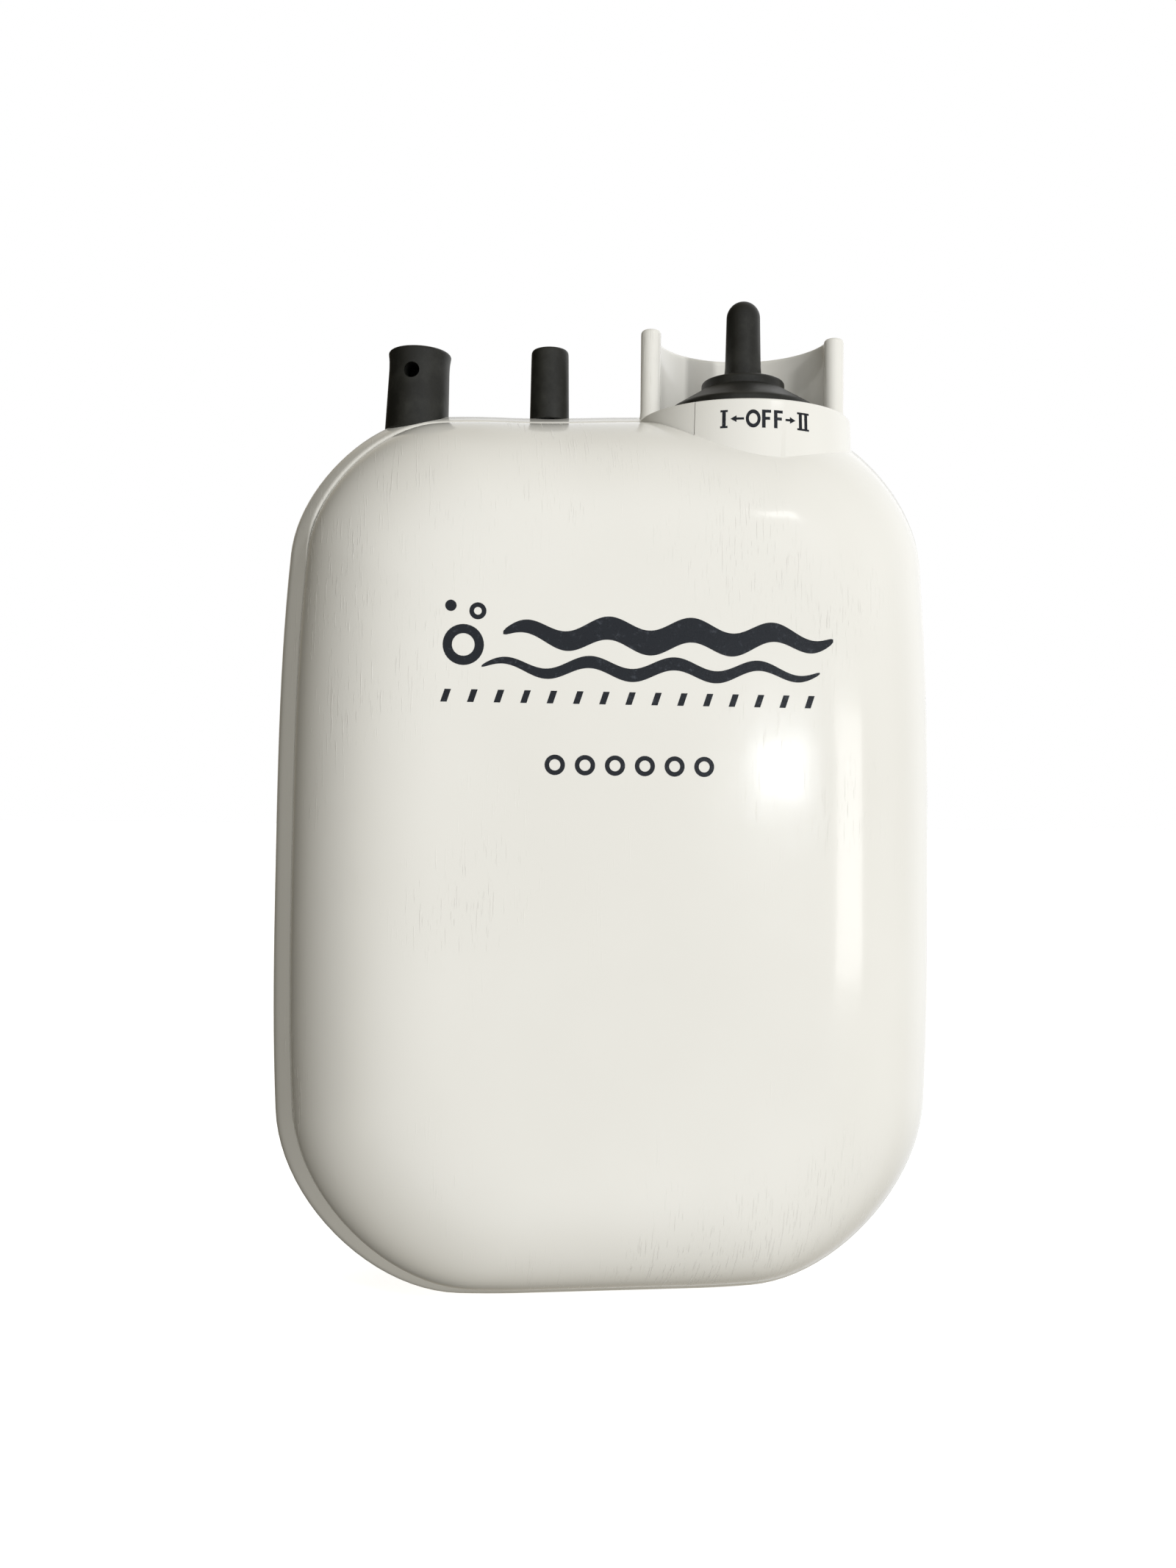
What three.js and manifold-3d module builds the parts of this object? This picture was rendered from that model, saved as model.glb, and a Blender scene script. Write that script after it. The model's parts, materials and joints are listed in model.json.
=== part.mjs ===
// Portable battery air pump: two-part plastic case, two D cells, a small motor
// driving a diaphragm pump, and a three-position toggle switch in a guarded turret.
// Millimetres, +Z up, front towards -Y. Coordinates below are measured from the
// parting plane (y = 0); the whole assembly is then shifted so that the origin is
// the middle of the footprint.
import * as THREE from "three";
import { mergeVertices } from "three/addons/utils/BufferGeometryUtils.js";
import Module from "manifold-3d";

const wasm = await Module();
wasm.setup();

// ---------- driving dimensions ----------
const GAP = 0.3;                       // clearance between neighbouring pieces
const WALL = 2.2;
const FAR = 200;                       // beyond the case in every direction
const CASE = {
  halfWidth: 48.9, bottom: 3.6, top: 134.3, bulge: 3.6, taper: 0.01,
  topRadius: 19.1, bottomRadius: 26.7, topFlat: 0.4, bottomFlat: 0.28,
};
const CREASE_INSET = 2.6;              // front cover's rim, inside the widest outline
const PILLOW = { width: 22.4, depth: 19, dome: 1.5 };
const REAR = { band: 1.2, wallEnd: 23, depth: 28, round: 5 };
const GASKET = { inset: 5.2, width: 0.8, half: 1.2 };
const TOP_Z = CASE.top + CASE.bulge - 0.2;     // mounting plane for stubs and switch
const TURRET = { x: 20.2, y: 2.1, rTop: 17, rFoot: 17.6, rPlate: 15.3, rHollow: 13, z: 125 };
const PLATE = { left: 37, right: -110 };       // ends of the front plate, degrees left of front
const GUARD = { rOut: 16.4, wall: 2.6, post: 1.6, height: 14.8 };
const SCREW = { x: 41.2, low: 34, high: 104, r: 1.4, headR: 2.8, hole: 1.7, boss: 3.4, tip: -8, sink: 3 };

const DOOR = { halfWidth: 36.8, z0: 10.2, z1: 80.4, radius: 6, inner: REAR.depth - 2 };
const MOUTH = { halfWidth: 34.8, z0: 12.8, z1: 78.2, radius: 3 };
const LEDGE = { margin: 2.4, front: DOOR.inner - 3.5, seat: DOOR.inner - 1.3 };
const SHELF = { halfWidth: 28, front: 2, z0: 9, z1: 11.7 };
const GRIP = { count: 5, pitch: 2.4, width: 1.2, depth: 0.7, half: 9, drop: 7 };
const CELL = { r: 16.9, length: 61.5, nubR: 4.75, nub: 1.5, x: 17.3, y: 8.3, low: 13, high: 16.3 };
const SPRING = { wire: 0.4, turns: 2.5, rBase: 6.5, rTip: 3.5 };
const CONTACT = { thickness: 0.6, linkZ: 12, topZ: 78.1 };
const BULKHEAD = { halfWidth: 41.5, front: -11, back: LEDGE.front - GAP, z0: 79, z1: 81, wireHole: 1.3 };
const PLUS_WIRE = [-CELL.x, -6];       // where the battery wires pass the bulkhead
const MINUS_WIRE = [32.5, 4.5];

const PUMP_Y = 5;                      // motor, pump and air stubs share this plane
const MOTOR = { z: 94.5, r: 10.2, skin: 0.9, x0: 2, x1: 26, shaftR: 1, bossR: 3, capR: 9.8, capX: 29 };
const ARMATURE = { r: 6.4, x0: 8, x1: 20 };
const MAGNET = { rIn: 7, rOut: 9, halfAngle: 60, x0: 6, x1: 22 };
const TERMINAL = { offset: 5.5, half: 1.2, thickness: 0.5, reach: 3.2 };
const CRADLE = { x0: 6, x1: 24, half: 11, top: 90 };
const STRAP = { thickness: 1.2, x0: 11, width: 8 };
const ECCENTRIC = { throw: 0.8, r: 3, x0: -12.2, x1: -8.6, hubR: 4.6, hubX: -7.4 };
const ROD = {
  length: 10, x0: -12, x1: -9, bigR: 5.2, bigBore: 3.3, smallR: 3.9, smallBore: 2.7, web: 1.3,
};

const OUTLET_X = -10.5;
const PUMP = { r: 14.5, ring: 109, film: 112.3, block: 113.6, cover: 119.3, top: 124, barb: 129 };
const EAR = { reach: 17.5, r: 3.5, hole: 1.5, angle: (3 * Math.PI) / 4 };
const LEG = { offset: 12.2, halfWidth: 3, halfDepth: 1 };
const BRACKET_BORE = 9.5;
const STUD = { plateZ: 110.4, plateR: 5, boltR: 1.4, pinR: 0.9, cheek: 1.2, cheekX: 2.5, fork: 1.6 };
const VALVE = { offset: 8, flapR: 2.2, flap: 0.5, chamberR: 11.5, chamberTop: 116.2, ceiling: 121.2 };

const INTAKE_X = -30.6;
const INTAKE = {
  r: 4.95, lip: 5.1, bore: 3.3, top: 149.3, roof: 147.4, holeR: 1.2, holeZ: 145.2, spigotR: 3,
};
const FILTER = { r: 3.4, z0: 126.2, z1: 130.7 };
const OUTLET = { r: 3, bore: 1.5, spigotR: 2, airR: 1, top: 149.4, step: 147 };

const SWITCH = { x: TURRET.x, y: TURRET.y, half: 6.5, z0: 120, z1: 133.9, hole: 3.4, pin: 4.5 };
const BUSHING = { r: 3, bore: 2.3, plateZ: 134.2, top: 142 };
const LEVER = { r: 1.2, ball: 1.9, pivotZ: 139, foot: 136.8, top: 155 };
const BOOT = { discR: 10.75, flangeR: 6.5, bore: 3.6, hollowR: 5 };
const SLEEVE = { r: 2.8, collar: 3.1, bore: 1.5, z: 144.9, tip: TOP_Z + 20.1 };
const RESISTOR = { y: 10, z: 111, r: 1.8, x0: 12, x1: 21 };
const WIRE_R = 0.65;
const FOOTPRINT_MID_Y = (REAR.depth - PILLOW.depth - PILLOW.dome) / 2;

// ---------- solid helpers ----------
function toSolid(geometry) {
  const g = geometry.index ? geometry.clone() : mergeVertices(geometry);
  for (const name of ["normal", "uv"]) g.deleteAttribute(name);
  const merged = mergeVertices(g, 1e-5);
  return new wasm.Manifold(new wasm.Mesh({
    numProp: 3,
    vertProperties: new Float32Array(merged.attributes.position.array),
    triVerts: new Uint32Array(merged.index.array),
  }));
}

function toGeometry(solid) {
  const mesh = solid.getMesh();
  const g = new THREE.BufferGeometry();
  g.setAttribute("position", new THREE.BufferAttribute(new Float32Array(mesh.vertProperties), 3));
  g.setIndex(new THREE.BufferAttribute(new Uint32Array(mesh.triVerts), 1));
  g.computeVertexNormals();
  return g;
}

function block([x0, y0, z0], [x1, y1, z1]) {
  const g = new THREE.BoxGeometry(x1 - x0, y1 - y0, z1 - z0);
  return toSolid(g.translate((x0 + x1) / 2, (y0 + y1) / 2, (z0 + z1) / 2));
}

// Round bar along an axis; (u, v) is its centre in the other two directions.
function rod(axis, [u, v], from, to, r, rEnd = r, sides = 20) {
  const g = new THREE.CylinderGeometry(rEnd, r, to - from, sides);
  const mid = (from + to) / 2;
  if (axis === "z") g.rotateX(Math.PI / 2).translate(u, v, mid);
  if (axis === "y") g.translate(u, mid, v);
  if (axis === "x") g.rotateZ(-Math.PI / 2).translate(mid, u, v);
  return toSolid(g);
}

function pipe(axis, centre, from, to, rOut, rIn, sides = 16) {
  const over = 1;
  return rod(axis, centre, from, to, rOut, rOut, sides)
    .subtract(rod(axis, centre, from - over, to + over, rIn, rIn, sides));
}

// Turned piece about a vertical axis; profile is [radius, z] from axis to axis.
function turned([x, y], profile, sides = 20) {
  const points = profile.map(([r, z]) => new THREE.Vector2(r, z));
  return toSolid(new THREE.LatheGeometry(points, sides).rotateX(Math.PI / 2).translate(x, y, 0));
}

// Pie slice about the turret axis; angles are degrees from front, positive to the left.
function wedge(fromDeg, toDeg) {
  const radius = 30;
  const shape = new THREE.Shape();
  shape.moveTo(0, 0);
  const steps = Math.ceil((toDeg - fromDeg) / 12);
  for (let i = 0; i <= steps; i++) {
    const a = THREE.MathUtils.degToRad(fromDeg + ((toDeg - fromDeg) * i) / steps);
    shape.lineTo(-radius * Math.sin(a), -radius * Math.cos(a));
  }
  const g = new THREE.ExtrudeGeometry(shape, { depth: TOP_Z - TURRET.z, bevelEnabled: false });
  return toSolid(g.translate(TURRET.x, TURRET.y, TURRET.z));
}

function roundedPanel(halfWidth, z0, z1, radius, y0, y1) {
  const s = new THREE.Shape();
  s.moveTo(-halfWidth + radius, z0);
  s.lineTo(halfWidth - radius, z0);
  s.absarc(halfWidth - radius, z0 + radius, radius, -Math.PI / 2, 0);
  s.lineTo(halfWidth, z1 - radius);
  s.absarc(halfWidth - radius, z1 - radius, radius, 0, Math.PI / 2);
  s.lineTo(-halfWidth + radius, z1);
  s.absarc(-halfWidth + radius, z1 - radius, radius, Math.PI / 2, Math.PI);
  s.lineTo(-halfWidth, z0 + radius);
  s.absarc(-halfWidth + radius, z0 + radius, radius, Math.PI, 1.5 * Math.PI);
  const g = new THREE.ExtrudeGeometry(s, { depth: y1 - y0, bevelEnabled: false, curveSegments: 3 });
  return toSolid(g.rotateX(Math.PI / 2).translate(0, y1, 0));
}

// Wire or coil along a smooth curve.
function strand(points, radius, steps, sides = 6) {
  const curve = new THREE.CatmullRomCurve3(points.map((p) => new THREE.Vector3(...p)));
  const section = new THREE.Shape();
  section.absarc(0, 0, radius, 0, 2 * Math.PI);
  const g = new THREE.ExtrudeGeometry(section, {
    steps, extrudePath: curve, curveSegments: sides / 2,
  });
  return toSolid(g);
}

function union(...solids) {
  return solids.reduce((sum, s) => sum.add(s));
}

// ---------- case outline and shells ----------
// Rounded rectangle with slightly convex sides, level in the middle of top and bottom.
function caseRing(inset, y, scale = 1) {
  const topInset = Math.max(0, inset - 1);
  const half = CASE.halfWidth - inset;
  const z0 = CASE.bottom + inset;
  const z1 = CASE.top - topInset;
  const rTop = CASE.topRadius - 0.45 * inset;
  const rBottom = CASE.bottomRadius - 0.5 * inset;
  const corners = [
    [half - rBottom, z0 + rBottom, rBottom, -90], [half - rTop, z1 - rTop, rTop, 0],
    [rTop - half, z1 - rTop, rTop, 90], [rBottom - half, z0 + rBottom, rBottom, 180],
  ];
  const arcSteps = 5;
  const flatSteps = 5;
  const flat = [];
  corners.forEach(([cx, cz, r, start], k) => {
    for (let i = 0; i <= arcSteps; i++) {
      const a = THREE.MathUtils.degToRad(start + (90 * i) / arcSteps);
      flat.push([cx + r * Math.cos(a), cz + r * Math.sin(a)]);
    }
    const [nx, nz, nr, nStart] = corners[(k + 1) % 4];
    const b = THREE.MathUtils.degToRad(nStart);
    const [ax, az] = flat[flat.length - 1];
    for (let i = 1; i < flatSteps; i++) {
      const t = i / flatSteps;
      flat.push([ax + (nx + nr * Math.cos(b) - ax) * t, az + (nz + nr * Math.sin(b) - az) * t]);
    }
  });
  const midZ = (z0 + z1) / 2;
  return flat.map(([x, z]) => {
    const u = x / half;
    const v = (z - midZ) / ((z1 - z0) / 2);
    const level = v > 0 ? CASE.topFlat : CASE.bottomFlat;
    const fall = Math.max(0, Math.abs(u) - level) / (1 - level);
    const wx = x * (1 - CASE.taper * v) + CASE.bulge * u * (1 - v * v);
    const wz = z + CASE.bulge * v * (1 - fall * fall);
    return new THREE.Vector3(wx * scale, y, midZ + (wz - midZ) * scale);
  });
}

// Closed solid through a stack of rings in either direction along y, capped by fans.
function loft(stack) {
  const backwards = stack[stack.length - 1][0].y < stack[0][0].y;
  const rings = backwards ? [...stack].reverse() : stack;
  const count = rings[0].length;
  const points = [];
  const index = [];
  rings.forEach((ring) => ring.forEach((p) => points.push(p.x, p.y, p.z)));
  for (let j = 0; j + 1 < rings.length; j++) {
    for (let i = 0; i < count; i++) {
      const a = j * count + i;
      const b = j * count + ((i + 1) % count);
      index.push(a, a + count, b, b, a + count, b + count);
    }
  }
  [[0, 1], [rings.length - 1, 0]].forEach(([j, flip]) => {
    const mid = new THREE.Vector3();
    rings[j].forEach((p) => mid.addScaledVector(p, 1 / count));
    const centre = points.push(mid.x, mid.y, mid.z) / 3 - 1;
    for (let i = 0; i < count; i++) {
      const a = j * count + i;
      const b = j * count + ((i + 1) % count);
      index.push(centre, flip ? a : b, flip ? b : a);
    }
  });
  const g = new THREE.BufferGeometry();
  g.setAttribute("position", new THREE.Float32BufferAttribute(points, 3));
  g.setIndex(index);
  return toSolid(g);
}

// Front cushion shape from the rim at y = 0 to the crown; skin = 0 outside, WALL inside.
function pillow(skin) {
  const rings = [];
  const steps = 6;
  for (let i = 0; i <= steps; i++) {
    const a = (Math.PI / 2) * (i / steps);
    const inset = CREASE_INSET + skin + (PILLOW.width - skin / 2) * (1 - Math.cos(a));
    rings.push(caseRing(inset, -(PILLOW.depth - skin) * Math.sin(a)));
  }
  const edge = CREASE_INSET + PILLOW.width + skin / 2;
  const crownScale = 0.05;
  for (const s of [0.66, 0.33]) {
    rings.push(caseRing(edge, -(PILLOW.depth - skin) - PILLOW.dome * (1 - s * s), s));
  }
  rings.push(caseRing(edge, -(PILLOW.depth - skin) - PILLOW.dome, crownScale));
  return loft(rings);
}

// Rear shell volume from the lip to the flat back.
function tub(skin) {
  const end = REAR.depth - skin;
  const lip = caseRing(CREASE_INSET + skin, GAP);
  const rings = [lip, caseRing(skin, REAR.band), caseRing(skin, REAR.wallEnd)];
  for (const deg of [30, 60, 90]) {
    const a = THREE.MathUtils.degToRad(deg);
    const y = REAR.wallEnd + (end - REAR.wallEnd) * Math.sin(a);
    rings.push(caseRing(skin + REAR.round * (1 - Math.cos(a)), y));
  }
  return loft(skin ? [caseRing(CREASE_INSET + skin, -1), ...rings] : rings);
}

const frontOuter = pillow(0);
const frontInner = pillow(WALL);
const frontHalf = block([-FAR, -FAR, -FAR], [FAR, 0, FAR]);
const rearHalf = block([-FAR, GAP, -FAR], [FAR, FAR, FAR]);
const screwSpots = [-1, 1].flatMap((side) => [SCREW.low, SCREW.high].map((z) => [side * SCREW.x, z]));
const turretAxis = [TURRET.x, TURRET.y];

function turretBody(extra) {
  return rod("z", turretAxis, TURRET.z, TOP_Z, TURRET.rFoot + extra, TURRET.rTop + extra, 32);
}

function turretBore(r, top) {
  return rod("z", turretAxis, TURRET.z - 2, top, r, r, 32);
}

function frontCover() {
  const bore = turretBore(TURRET.rPlate, TOP_Z + 1);
  const plate = turretBody(0).subtract(bore).intersect(wedge(PLATE.right, PLATE.left))
    .intersect(frontHalf).subtract(frontInner);
  const facetRoom = turretBody(GAP).intersect(wedge(PLATE.left, -PLATE.right));
  let cover = frontOuter.subtract(frontInner).subtract(bore).subtract(facetRoom).add(plate);
  for (const spot of screwSpots) {
    const post = rod("y", spot, -FAR, 0, SCREW.boss, SCREW.boss, 12).intersect(frontOuter);
    cover = cover.add(post).subtract(rod("y", spot, SCREW.tip - GAP, 5, SCREW.hole, SCREW.hole, 12));
  }
  return cover;
}

// U-shaped wall behind the lever, ending in a round post on each side.
function guardWall() {
  const steps = 16;
  const foot = TOP_Z - 1;
  const rIn = GUARD.rOut - GUARD.wall;
  const shape = new THREE.Shape();
  const at = (r, k) => [r * Math.cos((Math.PI * k) / steps), r * Math.sin((Math.PI * k) / steps)];
  shape.moveTo(...at(GUARD.rOut, 0));
  for (let k = 1; k <= steps; k++) shape.lineTo(...at(GUARD.rOut, k));
  for (let k = steps; k >= 0; k--) shape.lineTo(...at(rIn, k));
  const wall = new THREE.ExtrudeGeometry(shape, { depth: GUARD.height + 1, bevelEnabled: false });
  const posts = [-1, 1].map((side) => {
    const spot = [TURRET.x + side * (GUARD.rOut - GUARD.wall / 2), TURRET.y];
    return rod("z", spot, foot, TOP_Z + GUARD.height, GUARD.post, GUARD.post, 12);
  });
  return union(toSolid(wall.translate(TURRET.x, TURRET.y, foot)), ...posts);
}

function doorPanel(grow, y0, y1) {
  return roundedPanel(DOOR.halfWidth + grow, DOOR.z0 - grow, DOOR.z1 + grow, DOOR.radius, y0, y1);
}

function rearBody() {
  const rearOuter = tub(0);
  const overlap = block([-FAR, -FAR, TURRET.z], [FAR, GAP + 0.1, FAR]);
  const tongue = turretBore(TURRET.rPlate - GAP, TOP_Z).intersect(overlap);
  const facet = turretBody(0).intersect(wedge(PLATE.left + 1, 100)).intersect(overlap);
  let body = union(rearOuter.subtract(tub(WALL)), turretBody(0).intersect(rearHalf), tongue, facet,
    guardWall());
  body = body.subtract(turretBore(TURRET.rHollow, TOP_Z - WALL));
  for (const spot of screwSpots) {
    const boss = rod("y", spot, GAP, REAR.depth, SCREW.boss, SCREW.boss, 12);
    body = body.add(boss.intersect(rearOuter));
  }
  const ledge = doorPanel(LEDGE.margin, LEDGE.front, DOOR.inner + 0.5).intersect(rearOuter);
  const recess = doorPanel(GAP + 0.1, LEDGE.seat, FAR);
  const mouth = roundedPanel(MOUTH.halfWidth, MOUTH.z0, MOUTH.z1, MOUTH.radius, 10, FAR);
  const shelf = block([-SHELF.halfWidth, SHELF.front, SHELF.z0], [SHELF.halfWidth, REAR.wallEnd, SHELF.z1]);
  body = union(body, ledge).subtract(recess).subtract(mouth).add(shelf);
  for (const spot of screwSpots) {
    const headRoom = SCREW.headR + 0.5;
    body = body.subtract(rod("y", spot, -1, FAR, SCREW.hole, SCREW.hole, 12))
      .subtract(rod("y", spot, REAR.depth - SCREW.sink, FAR, headRoom, headRoom, 16));
  }
  for (const [x, r] of [[INTAKE_X, INTAKE.bore], [OUTLET_X, OUTLET.spigotR + GAP]]) {
    body = body.subtract(rod("z", [x, PUMP_Y], 120, FAR, r));
  }
  return body.subtract(rod("z", turretAxis, 130, FAR, SWITCH.hole));
}

function caseGasket() {
  const ring = (inset) => loft([caseRing(inset, -GASKET.half), caseRing(inset, GASKET.half)]);
  const turretRoom = block([TURRET.x - 20, -5, 110], [FAR, 5, FAR]);
  return ring(GASKET.inset).subtract(ring(GASKET.inset + GASKET.width)).subtract(turretRoom);
}

function caseScrew(spot) {
  const headY = REAR.depth - SCREW.sink + GAP;
  const topY = headY + 1.9;
  const [slot, reach, depth] = [0.4, 2, 0.9];
  const [x, z] = spot;
  return union(rod("y", spot, SCREW.tip, headY + 0.2, SCREW.r, SCREW.r, 12),
    rod("y", spot, headY, topY, SCREW.headR, 2.2, 20))
    .subtract(block([x - slot, topY - depth, z - reach], [x + slot, topY + 1, z + reach]))
    .subtract(block([x - reach, topY - depth, z - slot], [x + reach, topY + 1, z + slot]));
}

// ---------- battery compartment ----------
function batteryDoor() {
  let door = doorPanel(0, DOOR.inner, REAR.depth);
  for (let i = 0; i < GRIP.count; i++) {
    const z = DOOR.z1 - GRIP.drop - GRIP.pitch * i;
    door = door.subtract(block([-GRIP.half, REAR.depth - GRIP.depth, z],
      [GRIP.half, REAR.depth + 1, z + GRIP.width]));
  }
  return door;
}

function doorGasket() {
  const [margin, width] = [0.6, 1.8];
  const y0 = LEDGE.seat + GAP;
  return doorPanel(-margin, y0, DOOR.inner - GAP).subtract(doorPanel(-margin - width, y0 - 1, DOOR.inner));
}

function dCell(x, z0, nubUp) {
  const body = CELL.length - CELL.nub;
  const upright = [[0, 0], [CELL.r, 0], [CELL.r, body], [CELL.nubR, body], [CELL.nubR, CELL.length],
    [0, CELL.length]];
  const profile = nubUp ? upright : upright.map(([r, z]) => [r, CELL.length - z]).reverse();
  return turned([x, CELL.y], profile.map(([r, z]) => [r, z0 + z]), 24);
}

function contactSpring(x, z0, z1) {
  const steps = 24;
  const points = [];
  for (let i = 0; i <= steps; i++) {
    const t = i / steps;
    const a = 2 * Math.PI * SPRING.turns * t;
    const r = SPRING.rBase + (SPRING.rTip - SPRING.rBase) * t;
    const z = z0 + SPRING.wire + (z1 - z0 - 2 * SPRING.wire) * t;
    points.push([x + r * Math.cos(a), CELL.y + r * Math.sin(a), z]);
  }
  return strand(points, SPRING.wire, 30, 6);
}

function contactPlate(x0, y0, x1, y1, z) {
  return block([x0, y0, z], [x1, y1, z + CONTACT.thickness]);
}

function bulkhead() {
  const plate = block([-BULKHEAD.halfWidth, BULKHEAD.front, BULKHEAD.z0],
    [BULKHEAD.halfWidth, BULKHEAD.back, BULKHEAD.z1]);
  return [PLUS_WIRE, MINUS_WIRE].reduce(
    (piece, spot) => piece.subtract(rod("z", spot, 70, 90, BULKHEAD.wireHole)), plate);
}

// ---------- motor and drive ----------
const shaftLine = [PUMP_Y, MOTOR.z];
const eccentricLine = [PUMP_Y + ECCENTRIC.throw, MOTOR.z];
const shaftRoom = MOTOR.shaftR + GAP;

function motorCan() {
  const inner = rod("x", shaftLine, MOTOR.x0 + MOTOR.skin, MOTOR.x1 + 1, MOTOR.r - MOTOR.skin);
  return union(rod("x", shaftLine, MOTOR.x0, MOTOR.x1, MOTOR.r).subtract(inner),
    rod("x", shaftLine, MOTOR.x0 - 1.6, MOTOR.x0 + MOTOR.skin, MOTOR.bossR, MOTOR.bossR, 16))
    .subtract(rod("x", shaftLine, -5, 10, shaftRoom, shaftRoom, 12));
}

function motorEndCap() {
  return union(rod("x", shaftLine, MOTOR.x1 + GAP, MOTOR.capX, MOTOR.capR),
    rod("x", shaftLine, MOTOR.capX - 0.5, MOTOR.capX + 1.2, MOTOR.bossR, MOTOR.bossR, 16))
    .subtract(rod("x", shaftLine, 20, MOTOR.capX - 1, shaftRoom, shaftRoom, 12));
}

function motorArmature() {
  return rod("x", shaftLine, ARMATURE.x0, ARMATURE.x1, ARMATURE.r)
    .subtract(rod("x", shaftLine, 0, 40, shaftRoom, shaftRoom, 12));
}

// Curved field magnet against the inside of the can, above or below the armature.
function motorMagnet(start) {
  const from = THREE.MathUtils.degToRad(start - MAGNET.halfAngle);
  const to = THREE.MathUtils.degToRad(start + MAGNET.halfAngle);
  const shape = new THREE.Shape();
  shape.absarc(0, 0, MAGNET.rOut, from, to, false);
  shape.absarc(0, 0, MAGNET.rIn, to, from, true);
  const g = new THREE.ExtrudeGeometry(shape, {
    depth: MAGNET.x1 - MAGNET.x0, bevelEnabled: false, curveSegments: 8,
  });
  return toSolid(g.rotateX(Math.PI / 2).rotateZ(Math.PI / 2).translate(MAGNET.x0, PUMP_Y, MOTOR.z));
}

function motorTerminal(side) {
  const y = PUMP_Y + side * TERMINAL.offset;
  const x0 = MOTOR.capX + GAP;
  return block([x0, y - TERMINAL.half, MOTOR.z - TERMINAL.thickness / 2],
    [MOTOR.capX + TERMINAL.reach, y + TERMINAL.half, MOTOR.z + TERMINAL.thickness / 2]);
}

function motorCradle() {
  const foot = BULKHEAD.z1 + GAP;
  return block([CRADLE.x0, PUMP_Y - CRADLE.half, foot], [CRADLE.x1, PUMP_Y + CRADLE.half, CRADLE.top])
    .subtract(rod("x", shaftLine, 0, 40, MOTOR.r + GAP));
}

function motorStrap() {
  const shape = new THREE.Shape();
  const rIn = MOTOR.r + GAP + 0.1;
  const rOut = rIn + STRAP.thickness;
  const drop = MOTOR.z - CRADLE.top - GAP;
  shape.moveTo(rOut, -drop);
  shape.lineTo(rOut, 0);
  shape.absarc(0, 0, rOut, 0, Math.PI);
  shape.lineTo(-rOut, -drop);
  shape.lineTo(-rIn, -drop);
  shape.lineTo(-rIn, 0);
  shape.absarc(0, 0, rIn, Math.PI, 0, true);
  shape.lineTo(rIn, -drop);
  const g = new THREE.ExtrudeGeometry(shape, { depth: STRAP.width, bevelEnabled: false, curveSegments: 14 });
  return toSolid(g.rotateX(Math.PI / 2).rotateZ(Math.PI / 2).translate(STRAP.x0, PUMP_Y, MOTOR.z));
}

function eccentric() {
  return union(rod("x", eccentricLine, ECCENTRIC.x0, ECCENTRIC.x1, ECCENTRIC.r),
    rod("x", shaftLine, ECCENTRIC.x1, ECCENTRIC.hubX, ECCENTRIC.hubR))
    .subtract(rod("x", shaftLine, -20, 0, shaftRoom, shaftRoom, 12));
}

function connectingRod() {
  const [y, z] = eccentricLine;
  const smallEnd = [y, z + ROD.length];
  const web = block([ROD.x0, y - ROD.web, z + 3], [ROD.x1, y + ROD.web, z + ROD.length - 2]);
  const [cutFrom, cutTo] = [ROD.x0 - 1, ROD.x1 + 1];
  return union(rod("x", eccentricLine, ROD.x0, ROD.x1, ROD.bigR),
    rod("x", smallEnd, ROD.x0, ROD.x1, ROD.smallR), web)
    .subtract(rod("x", eccentricLine, cutFrom, cutTo, ROD.bigBore))
    .subtract(rod("x", smallEnd, cutFrom, cutTo, ROD.smallBore));
}

// ---------- diaphragm pump ----------
const pumpAxis = [OUTLET_X, PUMP_Y];
const earSpots = [1, -1].map((side) => [
  OUTLET_X + side * EAR.reach * Math.cos(EAR.angle), PUMP_Y + side * EAR.reach * Math.sin(EAR.angle),
]);

// Pump disc with a screw ear on each side.
function earedDisc(z0, z1) {
  const bar = toSolid(new THREE.BoxGeometry(2 * EAR.reach, 2 * EAR.r, z1 - z0)
    .rotateZ(EAR.angle).translate(OUTLET_X, PUMP_Y, (z0 + z1) / 2));
  let piece = rod("z", pumpAxis, z0, z1, PUMP.r).add(bar);
  for (const spot of earSpots) {
    piece = piece.add(rod("z", spot, z0, z1, EAR.r));
    piece = piece.subtract(rod("z", spot, z0 - 1, z1 + 1, EAR.hole, EAR.hole, 12));
  }
  return piece;
}

function pumpBracket() {
  const legs = [-1, 1].map((side) => {
    const y = PUMP_Y + side * LEG.offset;
    return block([OUTLET_X - LEG.halfWidth, y - LEG.halfDepth, BULKHEAD.z1 + GAP],
      [OUTLET_X + LEG.halfWidth, y + LEG.halfDepth, PUMP.ring + 1]);
  });
  return union(earedDisc(PUMP.ring, PUMP.film - GAP), ...legs)
    .subtract(rod("z", pumpAxis, 90, 130, BRACKET_BORE));
}

function diaphragm() {
  const profile = [[1.8, 0], [6.2, 0], [7.6, 0.6], [9, 0], [13.6, 0], [13.6, 1], [9, 1], [7.6, 1.5],
    [6.2, 1], [1.8, 1], [1.8, 0]];
  return turned(pumpAxis, profile.map(([r, z]) => [r, PUMP.film + z]));
}

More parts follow.
